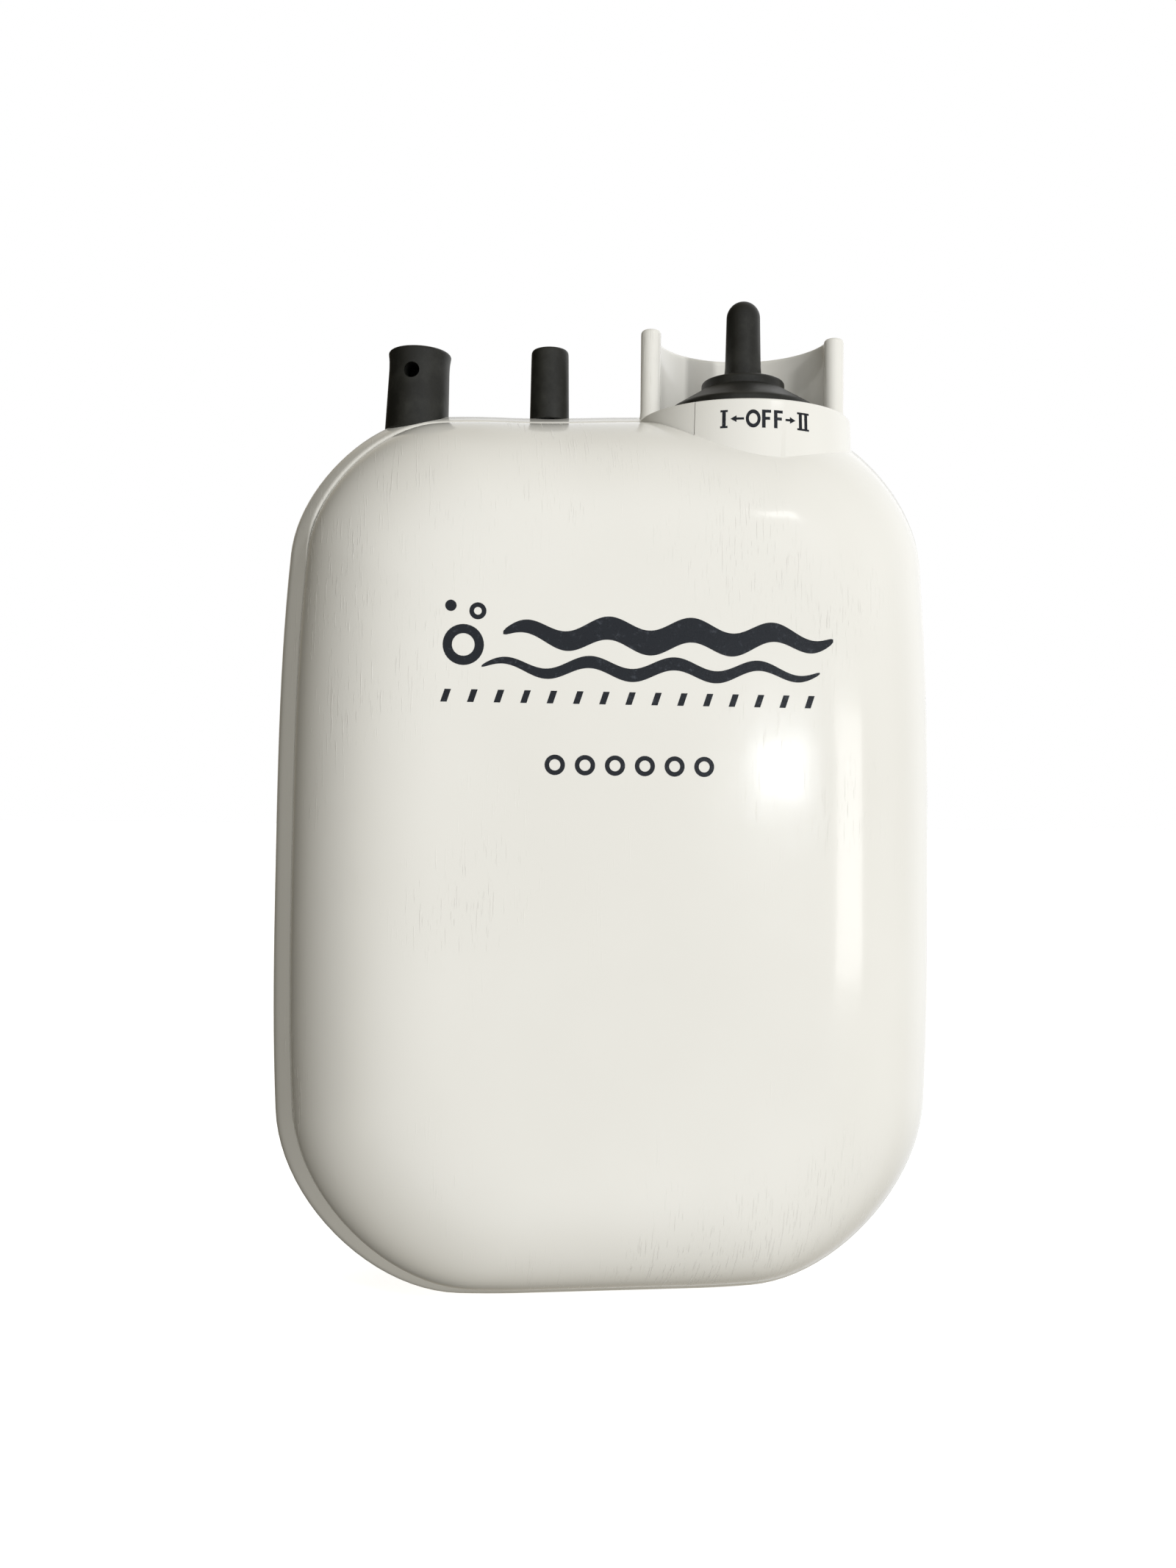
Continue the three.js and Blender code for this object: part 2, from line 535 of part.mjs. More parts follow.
function diaphragmStud() {
  const pinZ = MOTOR.z + ROD.length;
  const cheeks = [-1, 1].map((side) => {
    const x = OUTLET_X + side * STUD.cheekX;
    return block([x - STUD.cheek / 2, PUMP_Y - STUD.fork, pinZ - STUD.fork],
      [x + STUD.cheek / 2, PUMP_Y + STUD.fork, STUD.plateZ + 0.5]);
  });
  const pinHalf = STUD.cheekX + 0.5;
  return union(
    ...cheeks,
    rod("x", [PUMP_Y, pinZ], OUTLET_X - pinHalf, OUTLET_X + pinHalf, STUD.pinR, STUD.pinR, 12),
    rod("z", pumpAxis, STUD.plateZ, PUMP.film - GAP, STUD.plateR),
    rod("z", pumpAxis, STUD.plateZ, PUMP.block + 0.5, STUD.boltR, STUD.boltR, 12),
    rod("z", pumpAxis, PUMP.block, PUMP.block + 1, STUD.plateR),
  );
}

function valveSpot(side) {
  return [OUTLET_X + side * VALVE.offset, PUMP_Y];
}

function valveBlock() {
  const ports = [-1, 1].map((side) => rod("z", valveSpot(side), 110, 130, 1.2, 1.2, 12));
  return earedDisc(PUMP.block, PUMP.cover - GAP)
    .subtract(rod("z", pumpAxis, 100, VALVE.chamberTop, VALVE.chamberR))
    .subtract(union(...ports));
}

function valveFlap(side, z) {
  return rod("z", valveSpot(side), z, z + VALVE.flap, VALVE.flapR);
}

function pumpCover() {
  const airway = block([OUTLET_X - 1, PUMP_Y - 1.2, 110],
    [OUTLET_X + VALVE.offset, PUMP_Y + 1.2, VALVE.ceiling]);
  return earedDisc(PUMP.cover, PUMP.top)
    .add(rod("z", pumpAxis, PUMP.top - 0.5, PUMP.barb, 2, 1.7, 16))
    .subtract(rod("z", valveSpot(1), 110, VALVE.ceiling, VALVE.flapR + 0.7))
    .subtract(airway)
    .subtract(rod("z", pumpAxis, 120, 140, OUTLET.airR, OUTLET.airR, 12))
    .subtract(rod("z", valveSpot(-1), 110, 130, 1.5, 1.5, 12));
}

function pumpScrew(spot) {
  const headZ = PUMP.top + GAP;
  const [x, y] = spot;
  return union(rod("z", spot, PUMP.ring + 0.5, headZ + 0.3, 1.2, 1.2, 12),
    rod("z", spot, headZ, headZ + 1.7, 2.4, 2, 16))
    .subtract(block([x - 3, y - 0.3, headZ + 0.9], [x + 3, y + 0.3, headZ + 3]));
}

// ---------- air stubs ----------
const intakeAxis = [INTAKE_X, PUMP_Y];

function intakeSpigot() {
  return union(rod("z", intakeAxis, 131, 143, INTAKE.spigotR), rod("z", intakeAxis, 131, 132.4, 3.5))
    .subtract(rod("z", intakeAxis, 120, 150, 1.7, 1.7, 16));
}

function intakeCap() {
  const foot = TOP_Z + GAP - 0.1;
  const profile = [[0, INTAKE.roof], [INTAKE.bore, INTAKE.roof], [INTAKE.bore, foot], [INTAKE.r, foot],
    [INTAKE.r, INTAKE.top - 1.1], [INTAKE.lip, INTAKE.top - 0.4], [INTAKE.r - 0.35, INTAKE.top],
    [0, INTAKE.top]];
  const hole = rod("y", [INTAKE_X, INTAKE.holeZ], PUMP_Y - 9, PUMP_Y, INTAKE.holeR, INTAKE.holeR, 16);
  return turned(intakeAxis, profile, 28).subtract(hole);
}

function outletSpigot() {
  return union(rod("z", pumpAxis, 129.6, OUTLET.step - 0.5, OUTLET.spigotR),
    rod("z", pumpAxis, 133.3, 134.8, 3.6))
    .subtract(rod("z", pumpAxis, 120, 150, OUTLET.airR, OUTLET.airR, 12));
}

function outletSleeve() {
  const rIn = OUTLET.spigotR + GAP;
  const foot = TOP_Z + GAP;
  return turned(pumpAxis, [[rIn, foot], [OUTLET.r, foot], [OUTLET.r, OUTLET.top - 0.8],
    [OUTLET.r - 0.4, OUTLET.top - 0.1], [OUTLET.bore + 0.3, OUTLET.top], [OUTLET.bore, OUTLET.top - 0.4],
    [OUTLET.bore, OUTLET.step], [rIn, OUTLET.step], [rIn, foot]]);
}

// ---------- switch ----------
function squareAbout(half, z0, z1) {
  return block([SWITCH.x - half, SWITCH.y - half, z0], [SWITCH.x + half, SWITCH.y + half, z1]);
}

function switchBushing() {
  return union(squareAbout(SWITCH.half, BUSHING.plateZ, BUSHING.plateZ + 0.9),
    rod("z", turretAxis, BUSHING.plateZ + 0.3, BUSHING.top, BUSHING.r))
    .subtract(rod("z", turretAxis, LEVER.foot - 0.6, 150, BUSHING.bore, BUSHING.bore, 20));
}

function switchNut() {
  return rod("z", turretAxis, TOP_Z + GAP, TOP_Z + 2.3, 4.6, 4.6, 6)
    .subtract(rod("z", turretAxis, 130, 150, BUSHING.r + GAP));
}

function switchTerminal(x) {
  return block([x - 0.4, SWITCH.y - 1.2, SWITCH.z0 - 4.5], [x + 0.4, SWITCH.y + 1.2, SWITCH.z0 - GAP]);
}

function bootBase() {
  const profile = [[BOOT.hollowR, GAP], [BOOT.discR, GAP], [BOOT.discR, 2.2], [BOOT.flangeR, 3.2],
    [BOOT.flangeR, 5.8], [BOOT.flangeR - 0.4, 6.2], [BOOT.bore, 6.2], [BOOT.bore, 2.7],
    [BOOT.hollowR, 2.7], [BOOT.hollowR, GAP]];
  return turned(turretAxis, profile.map(([r, h]) => [r, TOP_Z + h]), 32);
}

function toggleBat() {
  return turned(turretAxis, [[0, LEVER.foot], [LEVER.r, LEVER.foot], [LEVER.r, LEVER.pivotZ - 1],
    [LEVER.ball, LEVER.pivotZ], [LEVER.r, LEVER.pivotZ + 1], [LEVER.r, LEVER.top - 0.5],
    [0, LEVER.top]], 16);
}

function toggleSleeve() {
  const profile = [[SLEEVE.bore, SLEEVE.z], [SLEEVE.collar, SLEEVE.z],
    [SLEEVE.collar - 0.05, SLEEVE.z + 1.3], [SLEEVE.r, SLEEVE.z + 2.1]];
  const steps = 5;
  for (let i = 0; i < steps; i++) {
    const a = (Math.PI / 2) * (i / steps);
    profile.push([SLEEVE.r * Math.cos(a), SLEEVE.tip - SLEEVE.r + SLEEVE.r * Math.sin(a)]);
  }
  profile.push([0, SLEEVE.tip], [0, LEVER.top + 0.4], [SLEEVE.bore, LEVER.top + 0.2], [SLEEVE.bore, SLEEVE.z]);
  return turned(turretAxis, profile, 24);
}

// ---------- assembly ----------
const finish = {
  whitePlastic: { color: 0xeeece6, roughness: 0.22, metalness: 0 },
  blackRubber: { color: 0x2c2d2a, roughness: 0.75, metalness: 0 },
  sealRubber: { color: 0x53565a, roughness: 0.8, metalness: 0 },
  steel: { color: 0xb9bbbd, roughness: 0.35, metalness: 1 },
  magnet: { color: 0x4a4b4d, roughness: 0.6, metalness: 0.3 },
  brass: { color: 0xc9a45a, roughness: 0.35, metalness: 1 },
  greyPlastic: { color: 0x8b8f92, roughness: 0.5, metalness: 0 },
  blackPlastic: { color: 0x1d1e20, roughness: 0.5, metalness: 0 },
  cellWrap: { color: 0x33475b, roughness: 0.4, metalness: 0.2 },
  foam: { color: 0x3a3c3e, roughness: 1, metalness: 0 },
  hose: { color: 0xd9dcd8, roughness: 0.4, metalness: 0 },
  redWire: { color: 0xa3201c, roughness: 0.5, metalness: 0 },
  blackWire: { color: 0x17181a, roughness: 0.5, metalness: 0 },
  blueWire: { color: 0x1f3f8f, roughness: 0.5, metalness: 0 },
};

const assembly = new THREE.Group();
assembly.position.y = -FOOTPRINT_MID_Y;

function place(name, solid, look) {
  const mesh = new THREE.Mesh(toGeometry(solid), new THREE.MeshStandardMaterial(finish[look]));
  mesh.name = name;
  assembly.add(mesh);
}

const wire = (points) => strand(points, WIRE_R, 14, 6);
const terminalX = [-SWITCH.pin, 0, SWITCH.pin].map((dx) => SWITCH.x + dx);
const solderZ = SWITCH.z0 - 4.9;       // just under the switch terminals
const lugX = MOTOR.capX + TERMINAL.reach + 0.4 + WIRE_R;
const contactTop = CONTACT.topZ + CONTACT.thickness;

place("front_cover", frontCover(), "whitePlastic");
place("rear_body", rearBody(), "whitePlastic");
place("case_gasket", caseGasket(), "sealRubber");
screwSpots.forEach((spot, i) => place(`case_screw_${i + 1}`, caseScrew(spot), "steel"));

place("battery_door", batteryDoor(), "whitePlastic");
place("door_gasket", doorGasket(), "sealRubber");
place("d_cell_1", dCell(-CELL.x, CELL.high, true), "cellWrap");
place("d_cell_2", dCell(CELL.x, CELL.low, false), "cellWrap");
place("cell_link_plate", contactPlate(-25, CELL.y - 4, 25, CELL.y + 4, CONTACT.linkZ), "steel");
place("contact_spring_lower", contactSpring(-CELL.x, CELL.low - 0.1, CELL.high - GAP), "steel");
place("contact_spring_upper",
  contactSpring(CELL.x, CELL.low + CELL.length + GAP, CONTACT.topZ - GAP), "steel");
place("positive_contact", contactPlate(-24, -8, -11, 13, CONTACT.topZ), "brass");
place("negative_contact", contactPlate(11, 1, 35, 12.5, CONTACT.topZ), "steel");
place("bulkhead", bulkhead(), "greyPlastic");

place("motor_can", motorCan(), "steel");
place("motor_end_cap", motorEndCap(), "blackPlastic");
place("motor_magnet_1", motorMagnet(90), "magnet");
place("motor_magnet_2", motorMagnet(270), "magnet");
place("motor_armature", motorArmature(), "steel");
place("motor_terminal_1", motorTerminal(-1), "brass");
place("motor_terminal_2", motorTerminal(1), "brass");
place("motor_cradle", motorCradle(), "greyPlastic");
place("motor_strap", motorStrap(), "steel");
place("motor_shaft", rod("x", shaftLine, -13.5, 27, MOTOR.shaftR, MOTOR.shaftR, 12), "steel");
place("eccentric", eccentric(), "brass");
place("connecting_rod", connectingRod(), "blackPlastic");

place("pump_bracket", pumpBracket(), "greyPlastic");
place("diaphragm", diaphragm(), "blackRubber");
place("diaphragm_stud", diaphragmStud(), "greyPlastic");
place("valve_block", valveBlock(), "greyPlastic");
place("inlet_flap", valveFlap(-1, VALVE.chamberTop - 0.9), "blackRubber");
place("outlet_flap", valveFlap(1, PUMP.cover + 0.05), "blackRubber");
place("pump_cover", pumpCover(), "greyPlastic");
earSpots.forEach((spot, i) => place(`pump_screw_${i + 1}`, pumpScrew(spot), "steel"));
place("outlet_hose", pipe("z", pumpAxis, PUMP.top + 0.4, 133, 3.2, 2.3), "hose");
place("outlet_spigot", outletSpigot(), "blackPlastic");
place("outlet_sleeve", outletSleeve(), "blackRubber");
place("intake_spigot", intakeSpigot(), "blackPlastic");
place("intake_cap", intakeCap(), "blackRubber");
place("intake_filter", rod("z", intakeAxis, FILTER.z0, FILTER.z1, FILTER.r), "foam");

place("switch_body", squareAbout(SWITCH.half, SWITCH.z0, SWITCH.z1), "blackPlastic");
place("switch_bushing", switchBushing(), "steel");
place("switch_nut", switchNut(), "steel");
place("boot_base", bootBase(), "blackRubber");
place("toggle_bat", toggleBat(), "steel");
place("toggle_sleeve", toggleSleeve(), "blackRubber");
terminalX.forEach((x, i) => place(`switch_terminal_${i + 1}`, switchTerminal(x), "brass"));
place("speed_resistor", rod("x", [RESISTOR.y, RESISTOR.z], RESISTOR.x0, RESISTOR.x1, RESISTOR.r), "hose");

place("wire_supply", wire([[terminalX[1], SWITCH.y, solderZ], [19, -6, 110], [12, -11.8, 101],
  [-4, -12.6, 93], [PLUS_WIRE[0], -10, 87], [...PLUS_WIRE, 82.5],
  [...PLUS_WIRE, contactTop + 0.4]]), "redWire");
place("wire_high_speed", wire([[terminalX[2], SWITCH.y, solderZ], [30, 1, 111], [36, -1, 103],
  [36, -0.5, 96], [lugX, -0.5, MOTOR.z]]), "redWire");
place("wire_low_speed", wire([[terminalX[0], SWITCH.y, solderZ], [15.3, 2.3, 113.6], [11, 4.5, 112.3],
  [8.6, 8, 111.2], [RESISTOR.x0 - 0.4, RESISTOR.y, RESISTOR.z]]), "blueWire");
place("wire_resistor", wire([[RESISTOR.x1 + 0.4, RESISTOR.y, RESISTOR.z], [27, 9.5, 109.5], [33, 6, 104],
  [34.6, 1.5, 99.5], [32.2, -0.2, 95.8]]), "blueWire");
place("wire_return", wire([[lugX, PUMP_Y + TERMINAL.offset, MOTOR.z], [36, 10, 91], [35, 6.5, 86],
  [...MINUS_WIRE, 82.5], [...MINUS_WIRE, contactTop + 0.4]]), "blackWire");

export default assembly;
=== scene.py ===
"""Looks of the battery air pump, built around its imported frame."""
import json
import math

import bmesh
import bpy
from mathutils import Matrix, Vector
from mathutils.bvhtree import BVHTree


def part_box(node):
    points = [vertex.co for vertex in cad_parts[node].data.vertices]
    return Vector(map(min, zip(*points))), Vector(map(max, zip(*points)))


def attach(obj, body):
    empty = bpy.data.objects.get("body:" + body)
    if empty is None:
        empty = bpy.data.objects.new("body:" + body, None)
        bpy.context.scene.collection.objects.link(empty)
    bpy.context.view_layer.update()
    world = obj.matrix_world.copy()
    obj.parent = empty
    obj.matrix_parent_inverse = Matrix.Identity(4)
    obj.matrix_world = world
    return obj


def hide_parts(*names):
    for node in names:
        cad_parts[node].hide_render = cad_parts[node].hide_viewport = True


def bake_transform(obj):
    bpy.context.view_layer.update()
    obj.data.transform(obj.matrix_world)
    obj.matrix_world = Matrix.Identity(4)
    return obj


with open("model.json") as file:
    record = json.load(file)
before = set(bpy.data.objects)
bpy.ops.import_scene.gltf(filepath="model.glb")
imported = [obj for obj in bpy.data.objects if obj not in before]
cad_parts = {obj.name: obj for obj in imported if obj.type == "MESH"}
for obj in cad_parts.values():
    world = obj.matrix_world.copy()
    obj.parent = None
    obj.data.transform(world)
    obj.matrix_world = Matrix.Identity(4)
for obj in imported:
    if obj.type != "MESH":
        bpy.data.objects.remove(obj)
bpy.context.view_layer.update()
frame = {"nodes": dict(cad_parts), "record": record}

# ---------- sizes, in millimetres; those of CAD nodes are read from the frame ----------
MM = 0.001


def span(node):
    """Low and high corner of a CAD node."""
    low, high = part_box(node)
    return low / MM, high / MM


def middle(node):
    low, high = span(node)
    return [(a + b) / 2 for a, b in zip(low, high)]


COVER_LOW, COVER_HIGH = span("front_cover")
REAR_HIGH = span("rear_body")[1]
INTAKE_LOW, INTAKE_HIGH = span("intake_cap")
OUTLET_LOW, OUTLET_HIGH = span("outlet_sleeve")
DOOR_LOW, DOOR_HIGH = span("battery_door")

# Main places. A y in this script counts from the parting plane between the two halves of the case.
PARTING_Y = COVER_HIGH.y
CROWN = PARTING_Y - COVER_LOW.y
REAR_DEPTH = REAR_HIGH.y - PARTING_Y
TOP_Z = span("boot_base")[0].z - 0.3
TURRET_X = middle("boot_base")[0]
TURRET_Y = middle("boot_base")[1] - PARTING_Y
STUB_Y = middle("outlet_sleeve")[1] - PARTING_Y
INTAKE_X = middle("intake_cap")[0]
OUTLET_X = middle("outlet_sleeve")[0]

# Outline of the case. BULGE is how far its four sides bow out past straight ones, and TAPER how much it
# narrows upwards. The two LEVEL values are the share of the top and bottom edge that stays level. TOP_LIFT
# raises the right part of the top, and TOP_SPARED is how much less than the sides the top is inset.
WALL = 2.2
BULGE = 3.6
TAPER = 0.01
HALF_WIDTH = REAR_HIGH.x - BULGE
CASE_BOTTOM = BULGE
CASE_TOP = TOP_Z + 0.2 - BULGE
TOP_RADIUS = 18.5
BOTTOM_RADIUS = 25.7
TOP_RADIUS_LOSS = 0.45
BOTTOM_RADIUS_LOSS = 0.5
TOP_LEVEL = 0.4
BOTTOM_LEVEL = 0.28
TOP_LIFT = 0.95
LIFT_START = -0.35
LIFT_SHARE = 0.5
TOP_SPARED = 1.0
ARC_STEPS = 22
FLAT_STEPS = 22

# Cushion of the front cover. It starts CREASE inside the outline, and its shoulder is PILLOW_WIDTH wide and
# curves with the two powers. DOME is how far the middle stands out past the shoulder.
CREASE = 3.0
PILLOW_WIDTH = 22.4
CROWN_POWER = 2.45
RIM_POWER = 1.75
DOME = 1.5
EDGE_ROUND = 0.16
CROWN_RINGS = 14
INNERMOST = 0.02

# Rear shell: BAND is the depth of its chamfer, and its fine lip runs round the top only.
BACK_ROUND = 5.0
WALL_END = REAR_DEPTH - BACK_ROUND
BAND = 4.8
LIP = 0.28
LIP_FOOT = CREASE - 0.68
LIP_FROM_Z = 112.0
LIP_FADE = 9.0
FLUSH = 0.05
SEAT = 0.1

# Turret, its guard and the rubber boot.
TURRET_TOP_R = 17.0
TURRET_FOOT_R = 17.6
TURRET_FOOT_Z = 125.0
CORE_R = 15.0
PLATE_INNER_R = CORE_R + 0.2
PLATE_LEFT = 37.0
PLATE_RIGHT = -83.0
GUARD_R = 16.2
GUARD_WALL = 2.6
GUARD_TOP = REAR_HIGH.z
POST_R = 1.6
BOOT_BORE_R = 3.4
LEVER_R = 2.68

# Back pieces. CELL_BAND is the height of a cell that its wrap leaves bare.
DOOR_RADIUS = 6.0
DOOR_GAP = 0.35
CELL_BAND = 6.5

# What the floor gives off by itself, so that it stays as pale as the white view behind it.
FLOOR_GLOW = 0.74


def ease(t):
    """Smooth step from 0 to 1."""
    t = min(1.0, max(0.0, t))
    return t * t * (3 - 2 * t)


def shift(x, y, z):
    return Matrix.Translation(Vector((x, y, z)) * MM)


def turn(degrees, axis):
    return Matrix.Rotation(math.radians(degrees), 4, axis)


# ---------- mesh helpers: points are in millimetres ----------
def make(name, points, faces, smooth_deg=35):
    mesh = bpy.data.meshes.new(name)
    mesh.from_pydata([(x * MM, (y + PARTING_Y) * MM, z * MM) for x, y, z in points], [], faces)
    obj = bpy.data.objects.new(name, mesh)
    bpy.context.scene.collection.objects.link(obj)
    tidy(obj, smooth_deg)
    return obj


def tidy(obj, smooth_deg=35):
    """Faces outwards, shaded smooth except over edges sharper than smooth_deg."""
    bm = bmesh.new()
    bm.from_mesh(obj.data)
    bmesh.ops.remove_doubles(bm, verts=bm.verts, dist=1e-7)
    bmesh.ops.recalc_face_normals(bm, faces=bm.faces)
    bm.to_mesh(obj.data)
    bm.free()
    obj.data.polygons.foreach_set("use_smooth", [True] * len(obj.data.polygons))
    obj.data.set_sharp_from_angle(angle=math.radians(smooth_deg))


def combine(target, other, operation):
    """Joins, cuts or intersects target with other, and removes other."""
    modifier = target.modifiers.new("combine", "BOOLEAN")
    modifier.operation = operation
    modifier.solver = "EXACT"
    modifier.object = other
    bpy.context.view_layer.update()
    shaped = target.evaluated_get(bpy.context.evaluated_depsgraph_get())
    mesh = bpy.data.meshes.new_from_object(shaped)
    target.modifiers.remove(modifier)
    old = target.data
    target.data = mesh
    bpy.data.meshes.remove(old)
    spare = other.data
    bpy.data.objects.remove(other)
    bpy.data.meshes.remove(spare)
    tidy(target)
    return target


def move(obj, matrix):
    """Moves a piece that was made round (0, 0, 0) on the parting plane."""
    obj.data.transform(matrix @ shift(0, -PARTING_Y, 0))


def rounded(corners, closed=False, steps=5):
    """Polyline with each corner (a, b, radius) replaced by an arc of about that radius."""
    out = []
    count = len(corners)
    for i, (a, b, radius) in enumerate(corners):
        here = Vector((a, b))
        if radius <= 0 or (not closed and i in (0, count - 1)):
            out.append((a, b))
            continue
        before = Vector(corners[i - 1][:2]) - here
        after = Vector(corners[(i + 1) % count][:2]) - here
        reach = min(radius, before.length * 0.49, after.length * 0.49)
        start = here + before.normalized() * reach
        end = here + after.normalized() * reach
        for k in range(steps + 1):
            t = k / steps
            p = start * (1 - t) ** 2 + here * 2 * t * (1 - t) + end * t * t
            out.append((p.x, p.y))
    return out


def lathe(name, profile, x, y, sides=96):
    """Turned piece on a vertical axis; profile is (radius, z), from axis to axis or a closed loop."""
    points, rows = [], []
    for r, z in profile:
        if r < 1e-6:
            points.append((x, y, z))
            rows.append([len(points) - 1] * sides)
            continue
        row = []
        for k in range(sides):
            a = 2 * math.pi * k / sides
            points.append((x + r * math.cos(a), y + r * math.sin(a), z))
            row.append(len(points) - 1)
        rows.append(row)
    looped = profile[0][0] > 1e-6
    faces = []
    for j in range(len(rows) - (0 if looped else 1)):
        one, two = rows[j], rows[(j + 1) % len(rows)]
        for k in range(sides):
            ring = [one[k], one[(k + 1) % sides], two[(k + 1) % sides], two[k]]
            face = [v for n, v in enumerate(ring) if v not in ring[:n]]
            if len(face) > 2:
                faces.append(face)
    return make(name, points, faces)


def arc_sweep(name, section, from_deg, to_deg, x, y, steps=64):
    """Closed section (radius, z) swept about a vertical axis; 0 is front, positive to the left."""
    points, faces = [], []
    count = len(section)
    for j in range(steps + 1):
        a = math.radians(from_deg + (to_deg - from_deg) * j / steps)
        for r, z in section:
            points.append((x - r * math.sin(a), y - r * math.cos(a), z))
    for j in range(steps):
        for k in range(count):
            n = (k + 1) % count
            faces.append([j * count + k, j * count + n, (j + 1) * count + n, (j + 1) * count + k])
    faces.append(list(range(count)))
    faces.append([steps * count + k for k in range(count)])
    return make(name, points, faces)


def bar(name, low, high):
    """Box between two corners."""
    xs, ys, zs = zip(low, high)
    points = [(x, y, z) for x in xs for y in ys for z in zs]
    faces = [[0, 1, 3, 2], [4, 6, 7, 5], [0, 4, 5, 1], [2, 3, 7, 6], [0, 2, 6, 4], [1, 5, 7, 3]]
    return make(name, points, faces)


def plug(name, x, z, y0, y1, r0, r1, sides=48):
    """Round bar along y, from radius r0 to r1, which cuts a hole."""
    points, faces = [], []
    for y, r in ((y0, r0), (y1, r1)):
        for k in range(sides):
            a = 2 * math.pi * k / sides
            points.append((x + r * math.cos(a), y, z + r * math.sin(a)))
    for k in range(sides):
        n = (k + 1) % sides
        faces.append([k, n, sides + n, sides + k])
    faces += [list(range(sides)), list(range(sides, 2 * sides))]
    return make(name, points, faces)


def panel(name, half, z0, z1, radius, profile, corner_steps=12):
    """Rounded rectangle facing y; profile is (inset, y) from one side of the sheet to the other."""
    points, faces = [], []
    per_ring = 4 * (corner_steps + 1)
    for inset, y in profile:
        r = max(radius - inset, 0.05)
        w, low, high = half - inset, z0 + inset, z1 - inset
        centres = [(w - r, low + r, -90), (w - r, high - r, 0), (r - w, high - r, 90), (r - w, low + r, 180)]
        for cx, cz, start in centres:
            for k in range(corner_steps + 1):
                a = math.radians(start + 90 * k / corner_steps)
                points.append((cx + r * math.cos(a), y, cz + r * math.sin(a)))
    for j in range(len(profile) - 1):
        for k in range(per_ring):
            n = (k + 1) % per_ring
            faces.append([j * per_ring + k, j * per_ring + n, (j + 1) * per_ring + n, (j + 1) * per_ring + k])
    faces.append(list(range(per_ring)))
    faces.append([(len(profile) - 1) * per_ring + k for k in range(per_ring)])
    return make(name, points, faces)


# ---------- case outline ----------
def case_ring(inset, y, scale=1.0):
    """Ring at one y: the outline of the case, inset and then scaled about its middle."""
    half = HALF_WIDTH - inset
    z0, z1 = CASE_BOTTOM + inset, CASE_TOP - max(0.0, inset - TOP_SPARED)
    r_top = TOP_RADIUS - TOP_RADIUS_LOSS * inset
    r_bottom = BOTTOM_RADIUS - BOTTOM_RADIUS_LOSS * inset
    corners = [(half - r_bottom, z0 + r_bottom, r_bottom, -90), (half - r_top, z1 - r_top, r_top, 0),
               (r_top - half, z1 - r_top, r_top, 90), (r_bottom - half, z0 + r_bottom, r_bottom, 180)]
    flat = []
    for k, (cx, cz, r, start) in enumerate(corners):
        for i in range(ARC_STEPS + 1):
            a = math.radians(start + 90 * i / ARC_STEPS)
            flat.append((cx + r * math.cos(a), cz + r * math.sin(a)))
        nx, nz, nr, n_start = corners[(k + 1) % 4]
        b = math.radians(n_start)
        ax, az = flat[-1]
        bx, bz = nx + nr * math.cos(b), nz + nr * math.sin(b)
        for i in range(1, FLAT_STEPS):
            t = i / FLAT_STEPS
            flat.append((ax + (bx - ax) * t, az + (bz - az) * t))
    mid = (z0 + z1) / 2
    ring = []
    for x, z in flat:
        u, v = x / half, (z - mid) / ((z1 - z0) / 2)
        level = TOP_LEVEL if v > 0 else BOTTOM_LEVEL
        fall = max(0.0, abs(u) - level) / (1 - level)
        wx = x * (1 - TAPER * v) + BULGE * u * (1 - abs(v) ** 3)
        wz = z + BULGE * v * (1 - fall * fall)
        wz += TOP_LIFT * max(0.0, v) ** 2 * ease((u - LIFT_START) / LIFT_SHARE)
        ring.append((wx * scale, y, mid + (wz - mid) * scale))
    return ring


def loft(name, rings):
    """Closed body through rings; the first and last rings are closed by a fan to their middle."""
    count = len(rings[0])
    points = [p for ring in rings for p in ring]
    faces = []
    for j in range(len(rings) - 1):
        for k in range(count):
            n = (k + 1) % count
            faces.append([j * count + k, j * count + n, (j + 1) * count + n, (j + 1) * count + k])
    for j in (0, len(rings) - 1):
        ring = rings[j]
        points.append(tuple(sum(p[i] for p in ring) / count for i in range(3)))
        for k in range(count):
            faces.append([j * count + k, j * count + (k + 1) % count, len(points) - 1])
    return make(name, points, faces)


def pillow_rings(skin, edge_round, steps):
    """Rings of the front cushion from its crown to its rim, skin millimetres under the surface."""
    width, depth = PILLOW_WIDTH - skin / 2, CROWN - DOME - skin
    reach = HALF_WIDTH + BULGE
    inner_inset = CREASE + skin + width

    def swell(inset, scale):
        across = (inset + (1 - scale) * (reach - inset)) / reach
        return DOME * (1 - (1 - across) ** 2)

    rings = []
    for k in range(CROWN_RINGS):
        scale = INNERMOST + (1 - INNERMOST) * k / CROWN_RINGS
        rings.append(case_ring(inner_inset, -depth - swell(inner_inset, scale), scale))
    for k in range(steps + 1):
        a = math.pi / 2 * (1 - k / steps)
        inset = CREASE + skin + width * (1 - max(0.0, math.cos(a)) ** (2 / CROWN_POWER))
        rings.append(case_ring(inset, -depth * math.sin(a) ** (2 / RIM_POWER) - swell(inset, 1)))
    if edge_round:
        rings.pop()
        for k in range(5):
            a = math.pi / 2 * k / 4
            inset = CREASE + edge_round * (1 - math.cos(a))
            rings.append(case_ring(inset, -edge_round * (1 - math.sin(a))))
    return rings


